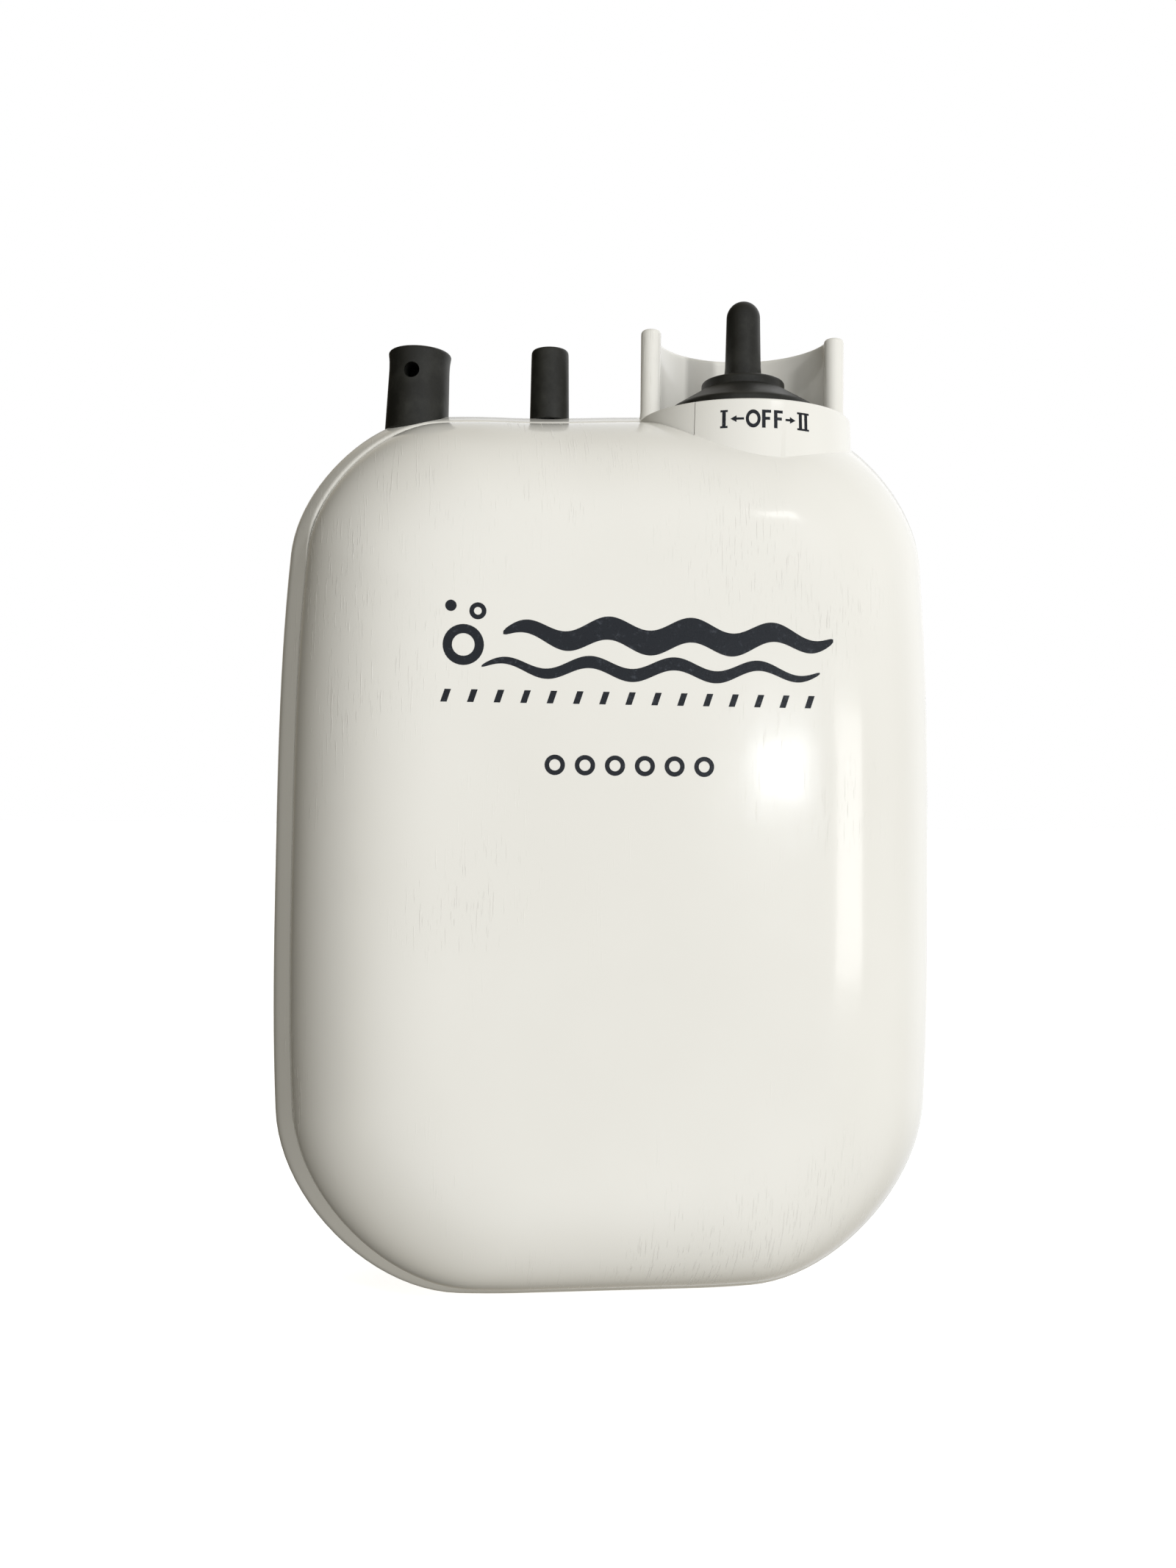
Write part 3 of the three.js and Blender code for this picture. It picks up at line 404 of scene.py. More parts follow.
# ---------- materials ----------
class Shader:
    """A node material with a few short helpers."""

    def __init__(self, name):
        self.material = bpy.data.materials.new(name)
        self.material.use_nodes = True
        self.nodes = self.material.node_tree.nodes
        self.links = self.material.node_tree.links
        self.shader = self.nodes["Principled BSDF"]
        coordinates = self.nodes.new("ShaderNodeTexCoord")
        self.place = coordinates.outputs["Object"]

    def set(self, **values):
        for key, value in values.items():
            self.shader.inputs[key.replace("_", " ")].default_value = value

    def node(self, kind, **settings):
        made = self.nodes.new("ShaderNode" + kind)
        for key, value in settings.items():
            setattr(made, key, value)
        return made

    def noise(self, scale, detail=3.0, roughness=0.55, place=None):
        made = self.node("TexNoise")
        made.inputs["Scale"].default_value = scale
        made.inputs["Detail"].default_value = detail
        made.inputs["Roughness"].default_value = roughness
        self.links.new(place or self.place, made.inputs["Vector"])
        return made.outputs["Fac"]

    def stretched(self, scale, rotation):
        made = self.node("Mapping")
        made.inputs["Scale"].default_value = scale
        made.inputs["Rotation"].default_value = rotation
        self.links.new(self.place, made.inputs["Vector"])
        return made.outputs["Vector"]

    def ramp(self, source, stops):
        made = self.node("ValToRGB")
        ramp = made.color_ramp
        while len(ramp.elements) < len(stops):
            ramp.elements.new(0.5)
        for element, (at, colour) in zip(ramp.elements, stops):
            element.position = at
            element.color = (*colour, 1)
        self.links.new(source, made.inputs["Fac"])
        return made.outputs["Color"]

    def math(self, operation, a, b=0.0, c=None):
        made = self.node("Math", operation=operation)
        for slot, value in zip(made.inputs, (a, b, c)):
            if isinstance(value, (int, float)):
                slot.default_value = value
            elif value is not None:
                self.links.new(value, slot)
        return made.outputs["Value"]

    def spread(self, source, low, high, to_low, to_high):
        made = self.node("MapRange")
        for key, value in (("From Min", low), ("From Max", high), ("To Min", to_low), ("To Max", to_high)):
            made.inputs[key].default_value = value
        self.links.new(source, made.inputs["Value"])
        return made.outputs["Result"]

    def blend(self, factor, one, two):
        made = self.node("Mix", data_type="RGBA")
        self.links.new(factor, made.inputs["Factor"])
        for slot, value in ((made.inputs[6], one), (made.inputs[7], two)):
            if isinstance(value, tuple):
                slot.default_value = (*value, 1)
            else:
                self.links.new(value, slot)
        return made.outputs[2]

    def to(self, socket, source):
        self.links.new(source, self.shader.inputs[socket])

    def bump(self, height, distance, strength=1.0):
        made = self.node("Bump")
        made.inputs["Distance"].default_value = distance
        made.inputs["Strength"].default_value = strength
        self.links.new(height, made.inputs["Height"])
        existing = self.shader.inputs["Normal"].links
        if existing:
            self.links.new(existing[0].from_socket, made.inputs["Normal"])
        self.links.new(made.outputs["Normal"], self.shader.inputs["Normal"])


def white_abs():
    """Glossy warm-white plastic: faint mottling, orange peel, hairline scratches and a few dust specks."""
    s = Shader("white_abs")
    tone = s.noise(18, 4)
    base = s.ramp(tone, [(0.35, (0.80, 0.795, 0.755)), (0.65, (0.835, 0.832, 0.795))])
    specks = s.node("TexVoronoi", feature="F1")
    specks.inputs["Scale"].default_value = 62
    s.links.new(s.place, specks.inputs["Vector"])
    speck_size, cells_without = 0.016, 0.72
    near = s.math("LESS_THAN", specks.outputs["Distance"], speck_size)
    chance = s.node("SeparateColor")
    s.links.new(specks.outputs["Color"], chance.inputs["Color"])
    speck = s.math("MULTIPLY", near, s.math("GREATER_THAN", chance.outputs["Red"], cells_without))
    s.to("Base Color", s.blend(speck, base, (0.03, 0.028, 0.025)))
    scratches = None
    for angle, across, along in ((0.5, 3300, 170), (-0.9, 2700, 140), (1.35, 3900, 210), (0.05, 3000, 150)):
        way = s.stretched((across, 40, along), (0, angle, 0))
        line = s.spread(s.noise(1.0, 2, 0.6, way), 0.66, 0.71, 0, 1)
        scratches = line if scratches is None else s.math("MAXIMUM", scratches, line)
    worn = s.spread(s.noise(30, 3), 0.48, 0.62, 0, 1)
    marks = s.math("MULTIPLY", scratches, worn)
    s.to("Roughness", s.math("MULTIPLY_ADD", marks, 0.3, s.spread(s.noise(90, 3), 0.3, 0.7, 0.12, 0.17)))
    s.bump(s.noise(170, 2, 0.4), 0.00006, 0.5)
    s.bump(marks, 0.00004, 0.8)
    s.set(IOR=1.5, Coat_Weight=0.25, Coat_Roughness=0.08)
    return s.material


def black_rubber():
    """Dull black rubber with bloom and a little dust."""
    s = Shader("black_rubber")
    dust = s.spread(s.noise(260, 5, 0.65), 0.45, 0.75, 0, 1)
    bloom = s.spread(s.noise(60, 3), 0.35, 0.7, 0, 1)
    dark = s.blend(bloom, (0.006, 0.0065, 0.0055), (0.012, 0.0125, 0.0105))
    s.to("Base Color", s.blend(s.math("MULTIPLY", dust, 0.3), dark, (0.06, 0.062, 0.054)))
    s.to("Roughness", s.spread(s.noise(120, 4), 0.3, 0.7, 0.4, 0.52))
    s.bump(s.noise(900, 4, 0.6), 0.00005, 0.5)
    s.set(Specular_IOR_Level=0.42)
    return s.material


def ink():
    """Screen-printed ink: dark, slightly glossy, thin in places."""
    s = Shader("print_ink")
    thin = s.spread(s.noise(1100, 4, 0.7), 0.58, 0.72, 0, 1)
    s.to("Base Color", s.blend(s.math("MULTIPLY", thin, 0.55), (0.006, 0.009, 0.015), (0.07, 0.08, 0.10)))
    s.to("Roughness", s.spread(s.noise(700, 3), 0.3, 0.7, 0.2, 0.36))
    s.bump(s.noise(1500, 3), 0.00002, 0.5)
    s.set(Specular_IOR_Level=0.3)
    return s.material


def moulded(name, low, high, roughness, grain=700, metallic=0.0, depth=0.00003):
    """Plain moulded or formed piece: two close tones, uneven gloss and a fine grain."""
    s = Shader(name)
    s.to("Base Color", s.blend(s.spread(s.noise(140, 4), 0.3, 0.7, 0, 1), low, high))
    s.to("Roughness", s.spread(s.noise(220, 4), 0.3, 0.7, roughness * 0.85, roughness * 1.15))
    s.bump(s.noise(grain, 3), depth, 0.5)
    s.set(Metallic=metallic)
    return s.material


MATERIALS = {
    "shell_white": white_abs(),
    "rubber_black": black_rubber(),
    "ink": ink(),
    "rubber_seal": moulded("rubber_seal", (0.07, 0.075, 0.08), (0.10, 0.105, 0.11), 0.7),
    "steel": moulded("steel", (0.52, 0.53, 0.54), (0.64, 0.65, 0.66), 0.32, 1400, 1.0, 0.00001),
    "brass": moulded("brass", (0.66, 0.49, 0.22), (0.78, 0.61, 0.31), 0.3, 1400, 1.0, 0.00001),
    "plastic_grey": moulded("plastic_grey", (0.27, 0.28, 0.29), (0.33, 0.34, 0.35), 0.5),
    "plastic_black": moulded("plastic_black", (0.018, 0.018, 0.02), (0.03, 0.03, 0.033), 0.42),
    "magnet": moulded("magnet", (0.05, 0.05, 0.055), (0.08, 0.08, 0.085), 0.6, 900, 0.2),
    "cell_wrap": moulded("cell_wrap", (0.03, 0.065, 0.12), (0.04, 0.085, 0.15), 0.25, 300, 0.3, 0.00002),
    "foam": moulded("foam", (0.04, 0.04, 0.045), (0.10, 0.10, 0.11), 0.95, 1600, 0.0, 0.0004),
    "silicone": moulded("silicone", (0.62, 0.64, 0.62), (0.74, 0.76, 0.74), 0.3),
    "wire_red": moulded("wire_red", (0.36, 0.02, 0.015), (0.5, 0.035, 0.025), 0.38),
    "wire_black": moulded("wire_black", (0.015, 0.015, 0.016), (0.03, 0.03, 0.03), 0.38),
    "wire_blue": moulded("wire_blue", (0.015, 0.05, 0.28), (0.03, 0.08, 0.38), 0.38),
}


def finish_piece(obj, material, body, *nodes, slot=None):
    """Gives a new piece its material and body and hides the CAD nodes that it stands for; slot is not used.
    """
    obj.data.materials.clear()
    obj.data.materials.append(MATERIALS[material])
    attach(obj, body)
    if nodes:
        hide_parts(*nodes)
    return obj


# ---------- turret and shells ----------
def turret_section(r_in):
    """Section of the turret's slightly conical wall, from radius r_in out."""
    return rounded([(r_in, TURRET_FOOT_Z, 0), (TURRET_FOOT_R, TURRET_FOOT_Z, 0), (TURRET_TOP_R, TOP_Z, 0.35),
                    (r_in, TOP_Z, 0.2)], closed=True, steps=4)


def turret_cutter(extra, from_deg, to_deg):
    """Wedge of the turret's place, extra millimetres larger and taller at both ends."""
    axis, past = 0.01, 3
    section = [(axis, TURRET_FOOT_Z - past), (TURRET_FOOT_R + extra, TURRET_FOOT_Z - past),
               (TURRET_TOP_R + extra, TOP_Z + past), (axis, TOP_Z + past)]
    return arc_sweep("cutter", section, from_deg, to_deg, TURRET_X, TURRET_Y)


def front_cover():
    """Cushion with the curved plate that carries the switch legend, cut out for the turret."""
    outside = pillow_rings(0, EDGE_ROUND, 48)
    inside = pillow_rings(WALL, 0, 12)
    cover = loft("front_cover_shell", outside + inside[::-1])
    low, high = TURRET_FOOT_Z - 15, TURRET_FOOT_Z + 25
    core = [(0, low), (PLATE_INNER_R, low), (PLATE_INNER_R, high), (0, high)]
    combine(cover, lathe("cutter", core, TURRET_X, TURRET_Y), "DIFFERENCE")
    combine(cover, turret_cutter(0.15, PLATE_LEFT, 100), "DIFFERENCE")
    plate = arc_sweep("plate", turret_section(PLATE_INNER_R), PLATE_RIGHT, PLATE_LEFT, TURRET_X, TURRET_Y)
    combine(cover, plate, "UNION")
    return finish_piece(cover, "shell_white", "root", "front_cover")


def rear_rings():
    """Rings of the rear shell from the middle of its back, round its rim, to the middle of its inside."""
    rings = []
    for k in range(6):
        rings.append(case_ring(BACK_ROUND, REAR_DEPTH, 0.05 + 0.95 * k / 6))
    for k in range(11):
        a = math.pi / 2 * (1 - k / 10)
        y = REAR_DEPTH - BACK_ROUND * (1 - math.sin(a))
        rings.append(case_ring(BACK_ROUND * (1 - math.cos(a)), y))
    rim = rounded([(WALL_END, 0.0, 0), (BAND, 0.0, 2.0), (0.0, LIP_FOOT, 0.3), (-LIP, CREASE - 0.45, 0.12),
                   (-LIP, CREASE - 0.2, 0.1), (SEAT, CREASE - 0.03, 0.1), (SEAT, CREASE + WALL, 0.1),
                   (BAND, WALL + 0.6, 0.5), (WALL_END, WALL, 0)], steps=6)
    on_chamfer = True
    for y, inset in rim[1:]:
        on_chamfer = on_chamfer and inset < CREASE - 0.15
        # away from the top there is no lip, and the chamfer runs on to the cushion
        plain_inset = min(inset * CREASE / LIP_FOOT, CREASE - FLUSH) if on_chamfer else inset
        lipped, plain = case_ring(inset, y), case_ring(plain_inset, max(y, FLUSH))
        ring = []
        for with_lip, without in zip(lipped, plain):
            share = min(1.0, max(0.0, (with_lip[2] - LIP_FROM_Z) / LIP_FADE))
            ring.append(tuple(b + (a - b) * share for a, b in zip(with_lip, without)))
        rings.append(ring)
    rings.append(case_ring(WALL + 1.0, WALL_END + 1.8))
    for scale in (1.0, 0.7, 0.4, 0.05):
        rings.append(case_ring(WALL + 3.0, REAR_DEPTH - WALL, scale))
    return rings


def flared(r, foot, flare, toe, top_round):
    """Outside of a wall or post of radius r that spreads at its foot, from its foot to its top."""
    return [(r + flare, foot, 0), (r + flare - 0.2, TOP_Z - 0.1, 0), (r + toe, TOP_Z + 0.3, 0.4),
            (r, TOP_Z + 1.5, 0.8), (r, GUARD_TOP, top_round)]


def guard():
    """U-shaped wall behind the lever, with a round post at each end."""
    foot = TOP_Z - 1
    r_in = GUARD_R - GUARD_WALL
    section = [(r_in - 0.1, foot, 0)] + flared(GUARD_R, foot, 1.4, 0.35, 0.9)
    section += [(r_in, GUARD_TOP, 0.9), (r_in, TOP_Z + 0.5, 0.3)]
    wall = arc_sweep("guard", rounded(section, closed=True, steps=6), 90, 270, TURRET_X, TURRET_Y, 72)
    profile = rounded([(0, foot, 0)] + flared(POST_R, foot, 1.0, 0.2, 1.2) + [(0, GUARD_TOP, 0)], steps=7)
    for side in (-1, 1):
        x = TURRET_X + side * (GUARD_R - GUARD_WALL / 2)
        combine(wall, lathe("post", profile, x, TURRET_Y, 40), "UNION")
    return wall


def rear_body():
    """Back half of the case with the turret, the guard, the door's recess and mouth, and the screw bores."""
    body = loft("rear_body_shell", rear_rings())
    gap_deg = 0.5
    ring = arc_sweep("ring", turret_section(CORE_R - 1.5), PLATE_LEFT + gap_deg, 360 + PLATE_RIGHT - gap_deg,
                     TURRET_X, TURRET_Y, 96)
    combine(body, ring, "UNION")
    hollow_r, roof = CORE_R - 2, TOP_Z - WALL
    core = rounded([(BOOT_BORE_R, roof, 0), (hollow_r, roof, 0), (hollow_r, TURRET_FOOT_Z, 0),
                    (CORE_R, TURRET_FOOT_Z, 0), (CORE_R, TOP_Z, 0.2), (BOOT_BORE_R, TOP_Z, 0)],
                   closed=True, steps=3)
    combine(body, lathe("core", core, TURRET_X, TURRET_Y), "UNION")
    low, cut_r = TURRET_FOOT_Z - 5, hollow_r - 0.05
    hole = lathe("cutter", [(0, low), (cut_r, low), (cut_r, roof), (0, roof)], TURRET_X, TURRET_Y)
    combine(body, hole, "DIFFERENCE")
    combine(body, guard(), "UNION")
    half, z0, z1 = DOOR_HIGH.x, DOOR_LOW.z, DOOR_HIGH.z
    inner = DOOR_LOW.y - PARTING_Y
    clear = REAR_DEPTH + 4
    ledge = panel("ledge", half + 3, z0 - 2.4, z1 + 2.4, DOOR_RADIUS, [(0, inner - 3.5), (0, REAR_DEPTH - 1)])
    combine(body, ledge, "UNION")
    recess = panel("recess", half + DOOR_GAP, z0 - DOOR_GAP, z1 + DOOR_GAP, DOOR_RADIUS + 0.2,
                   [(0, inner - 1.3), (0, REAR_DEPTH - 0.5), (-0.5, REAR_DEPTH + 0.2), (-0.5, clear)])
    combine(body, recess, "DIFFERENCE")
    mouth_half, mouth_from = 34.8, 10
    mouth = panel("mouth", mouth_half, z0 + 2.6, z1 - 2.2, 3, [(0, mouth_from), (0, clear)])
    combine(body, mouth, "DIFFERENCE")
    for number in range(1, 5):
        x, _, z = middle(f"case_screw_{number}")
        combine(body, plug("bore", x, z, REAR_DEPTH - 3, REAR_DEPTH + 6, 3.3, 3.5), "DIFFERENCE")
    return finish_piece(body, "shell_white", "root", "rear_body")


# ---------- rubber ----------
def intake_cap():
    """Rubber cap that leans a little, with a lip round its top and a bleed hole towards the front."""
    top, foot = INTAKE_HIGH.z - 1.3, INTAKE_LOW.z - 2.6
    mouth_r, cavity_r = 2.3, 3.3
    floor, step = top - 1.9, top - 6
    profile = rounded([(0, floor, 0), (mouth_r, floor, 0.3), (mouth_r, step, 0.3), (cavity_r, step, 0.2),
                       (cavity_r, foot, 0.1), (4.98, foot, 0.3), (4.72, top - 2.8, 0.6),
                       (4.76, top - 1.5, 0.4), (4.93, top - 0.35, 0.25), (4.55, top, 0.3),
                       (0, top + 0.15, 0)], steps=4)
    cap = lathe("intake_cap_rubber", profile, INTAKE_X, STUB_Y)
    hole = plug("hole", 0, 0, -9, 0, 1.25, 1.2, 40)
    hole_turn, hole_below_top = -15, 3.9
    move(hole, shift(INTAKE_X, STUB_Y + PARTING_Y, top - hole_below_top) @ turn(hole_turn, "Z"))
    combine(cap, hole, "DIFFERENCE")
    aside, lean = 0.8, 1.9
    leaned = shift(INTAKE_X - aside, STUB_Y + PARTING_Y, INTAKE_LOW.z) @ turn(lean, "Y")
    cap.data.transform(leaned @ shift(-INTAKE_X, -STUB_Y - PARTING_Y, -INTAKE_LOW.z))
    return finish_piece(cap, "rubber_black", "root", "intake_cap")


def outlet_sleeve():
    """Rubber sleeve for the airline, a little thinner towards its open top."""
    low, top = OUTLET_LOW.z, OUTLET_HIGH.z
    bore_r, mouth_r, step = 2.3, 1.5, top - 2.4
    profile = rounded([(bore_r, low, 0), (3.12, low, 0.2), (2.98, top - 1.5, 0.4), (2.93, top, 0.8),
                       (mouth_r, top, 0.3), (mouth_r, step, 0), (bore_r, step, 0)], closed=True, steps=5)
    sleeve = lathe("outlet_sleeve_rubber", profile, OUTLET_X, STUB_Y, 72)
    return finish_piece(sleeve, "rubber_black", "root", "outlet_sleeve")


def split_long(profile, longest=0.5):
    """Splits long stretches, so that a piece that bends has points to bend at."""
    out = [profile[0]]
    for (a, b), (c, d) in zip(profile, profile[1:]):
        steps = max(1, math.ceil(math.hypot(c - a, d - b) / longest))
        out += [(a + (c - a) * k / steps, b + (d - b) * k / steps) for k in range(1, steps + 1)]
    return out


def toggle_boot():
    """Boot base, flange and lever sleeve as the one rubber moulding that they are; the real boot bends at its
    root, and its outline is split into short stretches so that it has points to bend at.
    """
    tip = span("toggle_sleeve")[1].z
    base, flange = TOP_Z + 0.05, TOP_Z + 7.1
    disc_r, flange_r, root_r, cap_height = 11.8, 6.6, 3.3, 2.7
    corners = [(BOOT_BORE_R, base, 0), (disc_r, base, 0.15), (disc_r, TOP_Z + 2.3, 0.5),
               (6.95, TOP_Z + 5.3, 0.3), (flange_r, TOP_Z + 5.5, 0.15), (flange_r, flange - 0.15, 0.6),
               (root_r, flange + 0.12, 0.35), (2.98, flange + 0.6, 0.3), (2.92, TOP_Z + 8.7, 0.35),
               (2.84, TOP_Z + 9.6, 0.5), (LEVER_R, tip - cap_height - 0.1, 0.5),
               (LEVER_R, tip - cap_height, 0)]
    profile = rounded(corners)
    for k in range(1, 12):
        a = math.pi / 2 * k / 12
        profile.append((LEVER_R * math.cos(a), tip - cap_height + cap_height * math.sin(a)))
    profile.append((0.0, tip))
    inside = [(0, tip - 2.3), (1.6, tip - 2.6), (1.6, flange + 1.2), (BOOT_BORE_R, flange - 1.4)]
    boot = lathe("toggle_boot", split_long(profile) + inside, TURRET_X, TURRET_Y)
    boot.data.materials.append(MATERIALS["rubber_black"])
    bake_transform(boot)
    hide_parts("boot_base", "toggle_sleeve")
    return boot


# ---------- back pieces ----------
def battery_door():
    """Flat door with a rounded edge and a row of grip grooves near its top."""
    half, z0, z1 = DOOR_HIGH.x, DOOR_LOW.z, DOOR_HIGH.z
    y0, y1 = DOOR_LOW.y - PARTING_Y, DOOR_HIGH.y - PARTING_Y
    edge = rounded([(0, y0, 0), (0, y1, 0.5), (4, y1, 0)], steps=6)
    door = panel("battery_door_panel", half, z0, z1, DOOR_RADIUS, edge)
    groove_half, groove_height, groove_depth, pitch = 9, 1.3, 0.9, 2.6
    for k in range(5):
        z = z1 - 7 - pitch * k
        cut = [(0, y1 - groove_depth), (0, y1 + 1)]
        groove = panel("groove", groove_half, z, z + groove_height, 0.6, cut, 6)
        combine(door, groove, "DIFFERENCE")
    return finish_piece(door, "shell_white", "door", "battery_door")


def case_screw(number):
    """Countersunk cross-head screw that points forwards."""
    node = f"case_screw_{number}"
    low, high = span(node)
    x, _, z = middle(node)
    shank_r, head_r, head_height = 1.4, 2.8, 1.9
    length = high.y - low.y
    profile = rounded([(0, -length, 0), (shank_r, -length, 0), (shank_r, -head_height, 0),
                       (head_r, -head_height, 0.2), (head_r, -1.3, 0.3), (2.0, -0.15, 0.8), (0, 0, 0)])
    screw = lathe(f"{node}_body", profile, 0, 0, 48)
    for degrees in (0, 90):
        slot = bar("slot", (-1.7, -0.38, -1.2), (1.7, 0.38, 1))
        move(slot, shift(0, PARTING_Y, 0) @ turn(degrees, "Z"))
        combine(screw, slot, "DIFFERENCE")
    move(screw, shift(x, high.y, z) @ turn(20 + 31 * number, "Y") @ turn(-90, "X"))
    tidy(screw)
    return finish_piece(screw, "steel", "root", node)


def dry_cell(number):
    """D cell: wrapped can with rolled ends and a bright band; its button faces up under the plus contact."""
    node = f"d_cell_{number}"
    low, high = span(node)
    x, y, _ = middle(node)
    r, length = (high.x - low.x) / 2, high.z - low.z
    shoulder, button_r = length - 2.5, 4.75
    bottom = [(0, 0.4, 0), (r - 5.5, 0.4, 0.3), (r - 5.2, 0, 0.3), (r - 3.2, 0, 0.3), (r - 2.6, 0.9, 0.4),
              (r - 1.6, 0.9, 0.3), (r - 1.2, 0.2, 0.3), (r - 0.35, 0.2, 0.4), (r, 1.4, 0.5)]
    top = [(r, length - 3.4, 0.5), (r - 0.5, length - 2.2, 0.6), (r - 1.6, length - 1.9, 0.3),
           (r - 2.0, length - 2.7, 0.3), (6.2, shoulder, 0.4), (4.9, length - 1.9, 0.3),
           (button_r, length - 0.3, 0.35), (3.9, length, 0.3), (0, length, 0)]
    cell = lathe(f"{node}_can", rounded(bottom + top, steps=4), 0, 0, 72)
    cell.data.materials.append(MATERIALS["steel"])
    cell.data.materials.append(MATERIALS["cell_wrap"])
    for face in cell.data.polygons:
        level = face.center.z / MM
        out = math.hypot(face.center.x, face.center.y - PARTING_Y * MM) / MM
        face.material_index = int(out > r - 0.6 and 0.8 < level < length - CELL_BAND)
    plus_up = abs(x - middle("positive_contact")[0]) < r
    upside = Matrix.Identity(4) if plus_up else shift(0, 0, length) @ Matrix.Diagonal((1, 1, -1, 1))
    move(cell, shift(x, y, low.z) @ upside)
    tidy(cell)
    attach(cell, "root")
    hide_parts(node)


# ---------- print ----------
def drape_on(surface, name, shapes, lift=0.03, sink=0.06):
    """Thin ink solids laid on the front of a surface; a shape is a loop of (x, z), or a loop and its hole."""
    tree = BVHTree.FromObject(surface, bpy.context.evaluated_depsgraph_get())
    bm = bmesh.new()
    for loops in shapes:
        edges = []
        for loop in loops:
            verts = [bm.verts.new((x, 0, z)) for x, z in loop]
            edges += [bm.edges.new((a, b)) for a, b in zip(verts, verts[1:] + verts[:1])]
        bmesh.ops.triangle_fill(bm, edges=edges, use_beauty=True, use_dissolve=False)
    bmesh.ops.recalc_face_normals(bm, faces=bm.faces)
    flat = bpy.data.meshes.new(name)
    bm.to_mesh(flat)
    bm.free()
    points, faces = [], []
    well_in_front = -200
    for v in flat.vertices:
        start = Vector((v.co.x, well_in_front, v.co.z)) * MM
        hit, normal, _, _ = tree.ray_cast(start, Vector((0, 1, 0)))
        for step in (lift, -sink):
            p = hit / MM + normal * step
            points.append((p.x, p.y - PARTING_Y, p.z))
    uses = {}
    for polygon in flat.polygons:
        ids = list(polygon.vertices)
        faces.append([2 * i for i in ids])
        faces.append([2 * i + 1 for i in reversed(ids)])
        for a, b in zip(ids, ids[1:] + ids[:1]):
            uses.setdefault(tuple(sorted((a, b))), []).append((a, b))
    for pairs in uses.values():
        if len(pairs) == 1:
            a, b = pairs[0]
            faces.append([2 * b, 2 * a, 2 * a + 1, 2 * b + 1])
    bpy.data.meshes.remove(flat)
    return make(name, points, faces, 30)


def disc_outline(cx, cz, r, hole=0.0):
    """A disc, or a ring when it has a hole."""
    count = 36
    loops = []
    for radius in (r, hole) if hole else (r,):
        angles = [2 * math.pi * k / count for k in range(count)]
        loops.append([(cx + radius * math.cos(a), cz + radius * math.sin(a)) for a in angles])
    return loops


def wave_outline(x0, x1, z, height, thick):
    """A ribbon that runs in waves, thin at its ends."""
    count, waves = 120, 4
    upper, lower = [], []
    for k in range(count + 1):
        t = k / count
        x = x0 + (x1 - x0) * t
        centre = z + height * math.sin(2 * math.pi * waves * t)
        half = thick / 2 * (0.12 + 0.88 * math.sin(math.pi * t) ** 0.5)
        upper.append((x, centre + half))
        lower.append((x, centre - half))
    return [upper + lower[::-1]]


def front_print(cover):
    """A wordless mark: two waves, three bubbles, a row of slanted dashes and a row of rings."""
    shapes = [wave_outline(-19, 29, 101.2, 1.0, 3.6), wave_outline(-22, 27, 96.4, 0.9, 1.9)]
    for bubble in ((-24.6, 99.4, 2.9, 1.6), (-22.6, 104.2, 1.2, 0.55), (-26.4, 104.9, 0.8)):
        shapes.append(disc_outline(*bubble))
    dash_low, dash_high, dash_pitch = 91.3, 93.1, 3.75
    for k in range(15):
        x = -27 + dash_pitch * k
        foot, head = (x - 0.75, x + 0.15), (x + 0.75, x - 0.15)
        shapes.append([[(u, dash_low) for u in foot] + [(u, dash_high) for u in head]])
    ring_z, ring_pitch = 82.6, 4.3
    for k in range(6):
        shapes.append(disc_outline(-11.5 + ring_pitch * k, ring_z, 1.45, 0.8))
    mark = drape_on(cover, "front_mark", shapes)
    return finish_piece(mark, "ink", "root", slot="rubber_black")


def stroke_box(x0, x1, z0, z1):
    return [(x0, z0), (x1, z0), (x1, z1), (x0, z1)]


def switch_legend():
    """I, arrow, OFF, arrow, II: the positions of the switch."""
    high, thick, thin = 2.72, 0.52, 0.3
    z0 = TOP_Z - 4.5
    z1 = z0 + high
    mid = (z0 + z1) / 2
    strokes = []

    def numeral(cx):
        strokes.append(stroke_box(cx - thick / 2, cx + thick / 2, z0, z1))
        for z in (z0, z1 - thin):
            strokes.append(stroke_box(cx - 0.55, cx + 0.55, z, z + thin))

    def arrow(tail, head):
        way = 1 if head > tail else -1
        neck = head - way * 0.8
        barb = neck - way * 0.1
        strokes.append(stroke_box(min(tail, neck), max(tail, neck), mid - 0.17, mid + 0.17))
        strokes.append([(head, mid), (barb, mid + 0.5), (barb, mid - 0.5)])

    def letter_f(x):
        arm = thick * 0.85
        strokes.append(stroke_box(x, x + thick, z0, z1))
        strokes.append(stroke_box(x, x + 1.35, z1 - arm, z1))
        strokes.append(stroke_box(x, x + 1.2, mid - 0.15, mid - 0.15 + arm))

    numeral(-6.45)
    arrow(-3.5, -5.5)
    letter_f(-0.85)
    letter_f(0.95)
    arrow(2.75, 4.35)
    for cx in (5.2, 6.15):
        numeral(cx)
    o_x, squeeze = -2.15, 0.8
    circles = disc_outline(o_x, mid, high / 2, 0.8)
    letter_o = [[(o_x + (x - o_x) * squeeze, z) for x, z in loop] for loop in circles]
    return wrap_on_turret("switch_legend", strokes, letter_o)


